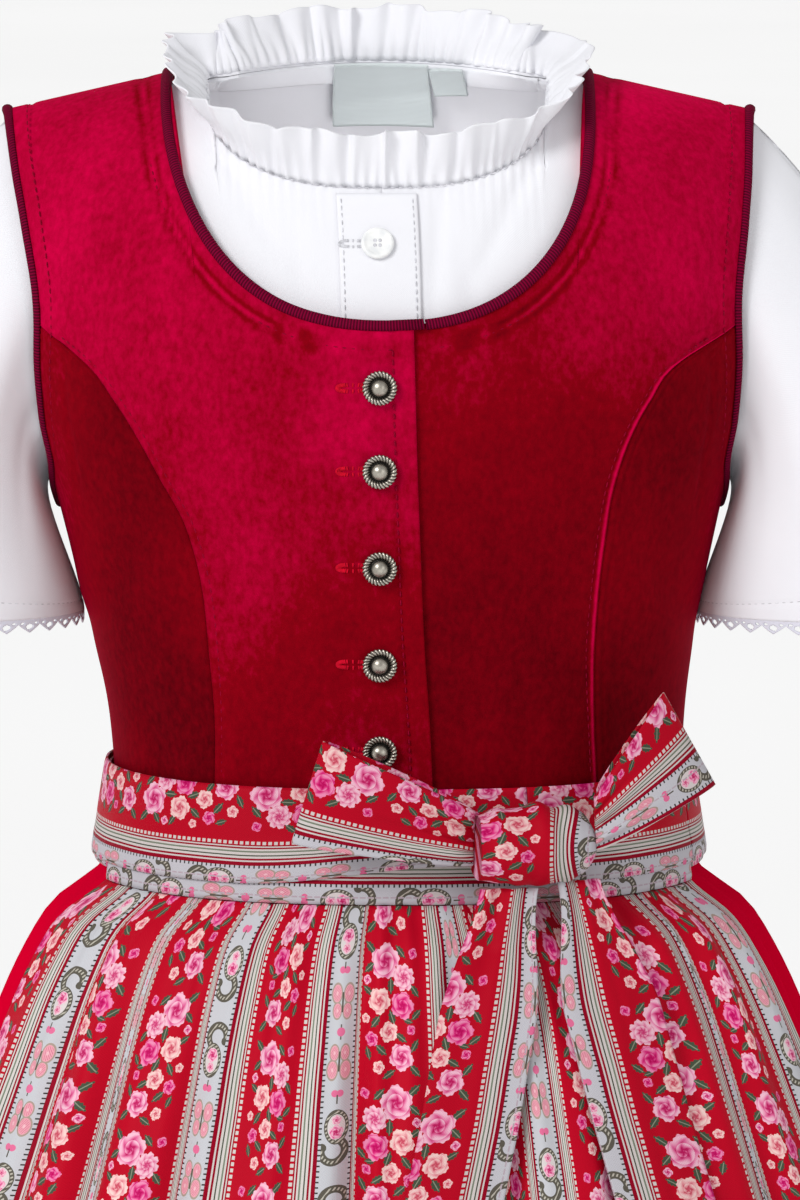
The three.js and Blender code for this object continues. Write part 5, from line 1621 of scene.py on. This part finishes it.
def skirt_fold(angle, z):
    under = np.where(np.cos(angle) > 0, mix(UNDER_APRON, 1, ease(0.93, 1, np.abs(np.sin(angle)))), 1.0)
    uneven = 0.8 + 0.2 * np.sin(5 * angle + 1)
    wander = 0.5 * np.sin(3 * angle + 0.6)
    return SKIRT.read("fold", z) * under * uneven * np.cos(SKIRT_FOLDS * angle + wander)


def skirt_surface(angle, z):
    fine = 0.35 * np.sin(61 * angle + 2 * np.sin(3 * angle)) * np.exp((z - WAIST_Z) / 26)
    lifted = skirt_fold(angle, z) + fine
    return skirt_base(angle, z) + skirt_out(angle, z) * lifted[..., None]


def make_skirt():
    levels = mix(SKIRT_TOP_Z, SKIRT_HEM_Z, along(50) ** 1.35)[::-1]
    for node, first, columns in (("skirt_front", -SIDE, 320), ("skirt_back", SIDE, 280)):
        angle, z = np.meshgrid(along(columns, first, first + BACK), levels)
        outer = skirt_surface(angle, z)
        inner = outer - skirt_out(angle, z) * SATIN_THICK
        cloth(node, outer, inner, SATIN, "skirt_satin", "gathered")


def apron_ridge(z):
    """How far the apron's ridges stand over the skirt's plain surface."""
    return (UNDER_APRON + APRON["depth"]) * SKIRT.read("fold", z) + APRON["clear"]


# Ridges between the big folds run unevenly: place, height, width, how far down they begin and end.
APRON_RIDGES = [
    (-0.82, 1.4, 0.02, 4, 90), (-0.71, 1.6, 0.022, 10, 160), (-0.58, 1.5, 0.025, 0, 110),
    (-0.535, 1.2, 0.014, 0, 60), (-0.41, 1.8, 0.02, 0, 150), (-0.33, 1.3, 0.016, 0, 70),
    (-0.27, 1.6, 0.022, 10, 190), (-0.19, 1.2, 0.014, 0, 90), (-0.05, 2.0, 0.02, 0, 170),
    (0.03, 1.4, 0.018, 0, 80), (0.1, 1.6, 0.02, 6, 130), (0.31, 1.7, 0.02, 0, 150),
    (0.37, 1.2, 0.014, 0, 70), (0.56, 1.6, 0.022, 0, 160), (0.63, 1.3, 0.018, 0, 90),
    (0.7, 1.5, 0.02, 8, 140), (0.82, 1.4, 0.018, 0, 100), (0.9, 1.2, 0.018, 0, 90),
]


def apron_fold(angle, z):
    sine = np.sin(angle)
    down = APRON["top_z"] - z
    troughs = sum(deep * bell(sine, place, wide) for place, deep, wide in APRON_FOLDS)
    faded = np.clip(down / APRON["long"], 0, 1)
    gather = APRON["deep"] * (1 - faded) * np.sin(APRON["gathers"] * angle) * np.minimum(1, 4 * faded)
    fine = 0.45 * np.sin(88 * angle + 2.5 * np.sin(7 * angle)) * np.exp(-down / 16)
    ridges = sum(
        0.8 * high * (bell(sine, place, wide) - 0.7 * bell(sine, place + 1.8 * wide, wide))
        * ease(first - 8, first + 10, down) * ease(last, last * 0.45, down)
        for place, high, wide, first, last in APRON_RIDGES)
    sunk = np.maximum(np.minimum(1, troughs), 0.5 * ease(0.86, 0.95, np.abs(sine)))
    return apron_ridge(z) - APRON["depth"] * SKIRT.read("fold", z) * sunk + gather + fine + ridges


def apron_surface(angle, z):
    return skirt_base(angle, z) + skirt_out(angle, z) * apron_fold(angle, z)[..., None]


def make_apron():
    reach = math.asin(APRON["spread"])
    sines = np.sort(np.concatenate([
        np.sin(along(240, -reach, reach)),
        *[place + wide * np.linspace(-1.6, 1.6, 13) for place, _, wide in APRON_FOLDS],
    ]))
    sines = np.clip(sines, -APRON["spread"], APRON["spread"])
    sines = sines[np.concatenate([[True], np.diff(sines) > 2e-4])]
    levels = mix(APRON["top_z"], APRON["hem_z"], along(72) ** 1.25)[::-1] - 0.1
    angle, z = np.meshgrid(np.arcsin(sines), levels)
    outer = apron_surface(angle, z)
    inner = outer - skirt_out(angle, z) * PRINT_THICK
    warp = np.interp(np.sin(angle), WARP[:, 0], WARP[:, 1])
    uv = np.stack([warp, (APRON["top_z"] - z) * 1.04], -1)
    cloth("apron_panel", outer, inner, PRINT, "apron_print", "gathered", ("apron_waistband",), uv=uv)


# ---- waistband, ties and bow -----------------------------------------------------------------------
def belt_surface(angle, z):
    t = (z - BELT["top_z"]) / (BELT["low_z"] - BELT["top_z"])
    return section(angle, mix(*BELT["half"], t), mix(*BELT["front"], t), mix(*BELT["back"], t), 0.0, z)


# Creases of the ties: angle, how far down they lie (0 to 1), half length in angle, depth, slope.
TIE_CREASES = [
    (-1.0, 0.35, 0.35, 0.5, 0.5), (-0.6, 0.7, 0.3, 0.45, 0.2), (-0.25, 0.45, 0.25, 0.6, -0.3),
    (0.15, 0.3, 0.22, 0.7, 0.8), (0.62, 0.5, 0.2, 0.7, -0.8), (0.85, 0.3, 0.25, 0.6, -0.5),
    (1.05, 0.65, 0.25, 0.5, -0.3), (2.2, 0.4, 0.4, 0.5, 0.2), (3.0, 0.65, 0.4, 0.5, -0.2),
    (3.8, 0.35, 0.4, 0.5, 0.3), (4.5, 0.6, 0.3, 0.5, 0.2),
]
BELT_ROWS = 20


def belt_strip(node, first, last, strip, columns, u_range, low_at=None, relief=1.0):
    """A length of band or tie: its print runs round the waist."""
    p, q = np.meshgrid(along(columns, first, last), along(BELT_ROWS)[::-1])
    low = strip["low_z"] + (low_at(p) if low_at else 0)
    z = mix(strip["top_z"], low, q)
    turn = (p + BACK) % FULL - BACK
    dent = np.zeros_like(q)
    for place, down, half_long, deep, slope in TIE_CREASES:
        at = (place + BACK) % FULL - BACK
        dent -= deep * bell(turn, at, half_long) * bell(q, down + slope * (turn - at), 0.09)
    rim = -0.35 * (np.exp(-q / 0.025) + np.exp(-(1 - q) / 0.025))
    raised = strip["lift"] + PRINT_THICK + 0.25 + relief * dent * 0.5 + rim
    normal = normal_of(belt_surface, p, z)
    outer = belt_surface(p, z) + normal * raised[..., None]
    inner = outer - normal * PRINT_THICK
    uv = np.stack([mix(*u_range, q), run_along(outer[BELT_ROWS // 2]) + 0 * q], -1)
    cloth(node, outer, inner, TIE, "apron_print", "laid", uv=uv)


def make_belt():
    end = math.asin(APRON["spread"])
    knot_right = FULL + math.asin((KNOT["x"] + 1.3) / BELT["half"][0])
    knot_left = math.asin((KNOT["x"] + 1.5) / BELT["half"][0])
    tie = (TIE_PRINT["from"], TIE_PRINT["to"])

    def drawn_in(angle):
        """How far the tie's lower edge is drawn up towards the knot."""
        return TIE_DRAWN_IN[0] * ease(*TIE_DRAWN_IN[1:], angle)

    belt_strip("apron_waistband", -end, end, BAND, 200, (-1, 34.5), relief=0.3)
    belt_strip("tie_round_back", end + 0.003, FULL - end - 0.003, TIE_INNER, 150, tie)
    belt_strip("tie_over_back_and_front", end + 0.003, knot_right, TIE_OUTER, 350, tie, drawn_in)
    belt_strip("tie_front_left", knot_left, end - 0.003, TIE_OUTER, 80, tie)


def make_knot():
    angle = np.array(math.asin(KNOT["x"] / BELT["half"][0]))
    level = np.array(float(KNOT["z"]))
    out = unit(normal_of(belt_surface, angle, level) * np.array([1.0, 1.0, 0.0]))
    centre = belt_surface(angle, level)
    centre = centre + out * (TIE_OUTER["lift"] + PRINT_THICK + KNOT["stand_off"] + KNOT["deep"])
    across = np.array([-out[1], out[0], 0.0])
    across *= np.sign(across[0])
    # A band of cloth wound over the knot from above: p runs across it, q round it.
    p, q = np.meshgrid(along(90, -1, 1), along(110, 0, FULL)[:-1])
    rounded = np.sqrt(np.maximum(0.02, 1 - np.abs(p) ** 3.2))
    pinch = np.where(p < 0, 1 - 0.2 * np.abs(p) ** 2.2, rounded)
    crease = 1 - 0.1 * bell(p, 0.35, 0.14) - 0.06 * bell(p, -0.3, 0.16) - 0.05 * bell(p, 0.72, 0.08)
    wrinkle = 1 + 0.03 * np.sin(9 * p + 2 * np.cos(q)) + 0.02 * np.sin(17 * p + 1.0)
    size = pinch * crease * wrinkle
    side = KNOT["wide"] * p * (1 - 0.03 * np.cos(2 * q))
    up = KNOT["high"] * size * np.cos(q) * (1 + 0.04 * p)
    front = KNOT["deep"] * size * np.sin(q)
    points = centre + side[..., None] * across + front[..., None] * out + up[..., None] * [0, 0, 1.0]
    rows, columns = points.shape[:2]
    faces = []
    for j in range(rows):
        following = (j + 1) % rows
        for i in range(columns - 1):
            a, b = j * columns + i, following * columns + i
            faces.append((a, a + 1, b + 1, b))
    for i in (0, columns - 1):
        ring = [j * columns + i for j in range(rows)]
        faces.append(tuple(ring if i else ring[::-1]))
    bend = 2.2 * np.cos(2 * (q - SIDE)) * ease(-0.4, 0.5, p)
    uv = np.stack([mix(-3.0, 35.0, (p + 1) / 2) + bend, (q - SIDE) * 14.5 + 31], -1).reshape(-1, 2)
    obj = mesh_object("bow_knot_cloth", points.reshape(-1, 3), faces, [True] * len(faces), TIE, uv)
    root_piece(obj, ("bow_knot",))


def loop_surface(loop):
    root, tip, skew = (np.array(loop[name], float) for name in ("root", "tip", "skew"))
    root_across = np.array([0, 0, loop["root_wide"] / 2])
    tip_across = unit(skew) * loop["tip_wide"] / 2

    def surface(p, q):
        run = (1 - np.cos(FULL * p)) / 2
        centre = root + (tip - root) * run[..., None]
        across = root_across + (tip_across - root_across) * (run ** 0.8)[..., None]
        place = centre + across * q[..., None]
        swell = loop["puff"] * np.sin(FULL * p)
        # Gathers fan out from the knot, and the edges curl a little.
        fan = 1.1 * np.sin(3.2 * q * math.pi + 0.6) * (1 - run) ** 1.5 * ease(0, 0.12, run)
        fan = fan + 0.7 * np.sin(5 * q * math.pi) * (1 - run) ** 2
        place[..., 1] -= swell * (1 - 0.12 * q * q) + fan
        return place

    return surface


def ribbon_uv(grid, first, last, offset=0.0):
    """Print on a ribbon: its top edge at the first millimetre across the print, its lower at the last."""
    v = run_along(grid[len(grid) // 2]) + offset
    return np.stack(np.meshgrid(v, along(len(grid) - 1, last, first)), -1)[..., ::-1]


def make_loop(node, loop, u_range, offset):
    surface = loop_surface(loop)
    p, q = np.meshgrid(along(120, 0.045, 0.955), along(36, -1, 1))
    outer = surface(p, q)
    inner = outer - normal_of(surface, p, q) * PRINT_THICK
    uv = ribbon_uv(outer, *u_range, offset)
    cloth(node, outer, inner, TIE, "apron_print", "folded", ("bow_knot",), uv=uv)


def tail_envelope(x, z):
    """How far forward a tail lies to clear the apron's ridges."""
    level = np.minimum(z, APRON["top_z"] - TAIL["band_clear"])
    out = apron_ridge(level) + TAIL["lift"] + PRINT_THICK

    def place_at(angle):
        return skirt_base(angle, level) + skirt_out(angle, level) * out[..., None]

    angle = 0 * x
    for _ in range(12):
        angle = angle + (x - place_at(angle)[..., 0]) / SKIRT.read("half", level)
    return place_at(angle)[..., 1]


def make_tail(node, tail, u_range):
    def surface(p, z):
        down = tail["top_z"] - z
        width = mix(tail["top_wide"], TAIL["wide"], ease(0, TAIL["widen"], down))
        high = mix(tail["top_x"], tail["mid_x"], down / (tail["top_z"] - TAIL["mid_z"]))
        low = mix(tail["mid_x"], tail["low_x"], (TAIL["mid_z"] - z) / (TAIL["mid_z"] - tail["low_z"]))
        x = np.where(z > TAIL["mid_z"], high, low) + p * width / 2
        bow = TAIL["bow"] * np.sin(math.pi * np.clip(down / TAIL["bow_over"], 0, 1))
        crease = 1.3 * np.sin(2.2 * p * math.pi + 0.4) * np.exp(-down / 40)
        ripple = 0.8 * np.sin(down / 31 + 0.8 * p) * ease(10, 60, down) - 0.6 * bell(p, 0.2, 0.12)
        return np.stack([x, tail_envelope(x, z) - bow - crease - ripple, z + 0 * x], -1)

    p, z = np.meshgrid(along(38, -1, 1), mix(tail["low_z"], tail["top_z"], along(98)))
    outer = surface(p, z)
    inner = outer - normal_of(surface, p, z) * PRINT_THICK
    uv = np.stack([mix(*u_range, (p + 1) / 2), (tail["top_z"] - z) * 1.06 + 20], -1)
    cloth(node, outer, inner, TIE, "apron_print", "hung", ("bow_knot",), uv=uv)


# ---- the whole set ---------------------------------------------------------------------------------
LACE_MATERIAL = cotton_material("lace", tint(214, 214, 226))
make_blouse()
make_blouse_trim()
make_frill()
make_sleeves()
make_bodice()
make_bindings()
make_topstitching()
make_buttons()
make_skirt()
make_apron()
make_belt()
make_knot()
make_loop("bow_loop_right", LOOP_RIGHT, (-5.0, 31.0), 12.0)
make_loop("bow_loop_left", LOOP_LEFT, (6.0, 40.0), 62.0)
make_tail("bow_tail_right", TAIL_RIGHT, (0.0, 34.0))
make_tail("bow_tail_left", TAIL_LEFT, (32.0, 66.0))


# ---- studio ----------------------------------------------------------------------------------------
CAMERA = {
    "place": (0.345, -2268.6, 95.6), "down": 7 * DEGREE, "focal_px": 6376.8, "frame_px": 800, "sensor": 36.0,
    "clip_end": 100,
}
FLOOR = {"z": -656, "glow": 0.14}
SKY_STRENGTH = 0.55


def make_camera():
    data = bpy.data.cameras.new("photo_view")
    data.sensor_fit = "HORIZONTAL"
    data.sensor_width = CAMERA["sensor"]
    data.lens = CAMERA["sensor"] * CAMERA["focal_px"] / CAMERA["frame_px"]
    data.clip_end = CAMERA["clip_end"]
    camera = bpy.data.objects.new("photo_view", data)
    camera.location = Vector(CAMERA["place"]) * MM
    camera.rotation_euler = (SIDE - CAMERA["down"], 0, 0)
    bpy.context.scene.collection.objects.link(camera)
    bpy.context.scene.camera = camera


def make_floor():
    corners = np.array([(-30, -30, 0), (30, -30, 0), (30, 60, 0), (-30, 60, 0)], float) / MM
    corners[:, 2] = FLOOR["z"]
    floor = mesh_object("floor", corners, [(0, 1, 2, 3)], [False], floor_material())


def place_light(data, place, aim=(0, 0, 0)):
    light = bpy.data.objects.new(data.name, data)
    light.location = Vector(place)
    light.rotation_euler = (Vector(aim) - Vector(place)).to_track_quat("-Z", "Y").to_euler()
    bpy.context.scene.collection.objects.link(light)


def make_light(name, place, aim, size, power):
    data = bpy.data.lights.new(name, "AREA")
    data.shape = "SQUARE"
    data.size = size
    data.energy = power
    place_light(data, place, aim)


def make_sun(place, spread, strength):
    data = bpy.data.lights.new("key", "SUN")
    data.angle = spread * DEGREE
    data.energy = strength
    place_light(data, place)


def make_studio():
    make_camera()
    make_floor()
    world = bpy.data.worlds.new("studio")
    world.use_nodes = True
    sky = world.node_tree.nodes["Background"]
    sky.inputs[0].default_value = (1.0, 1.0, 1.0, 1)
    sky.inputs[1].default_value = SKY_STRENGTH
    bpy.context.scene.world = world
    bpy.context.scene.view_settings.view_transform = "Standard"
    make_sun((-1.5, -1.7, 1.4), 24, 1.75)
    make_light("fill", (1.7, -1.8, 0.3), (0, 0, -0.25), 1.2, 5)
    make_light("throat", (0, -0.02, -0.06), (0, 0.06, 0.0), 0.06, 0.042)


make_studio()
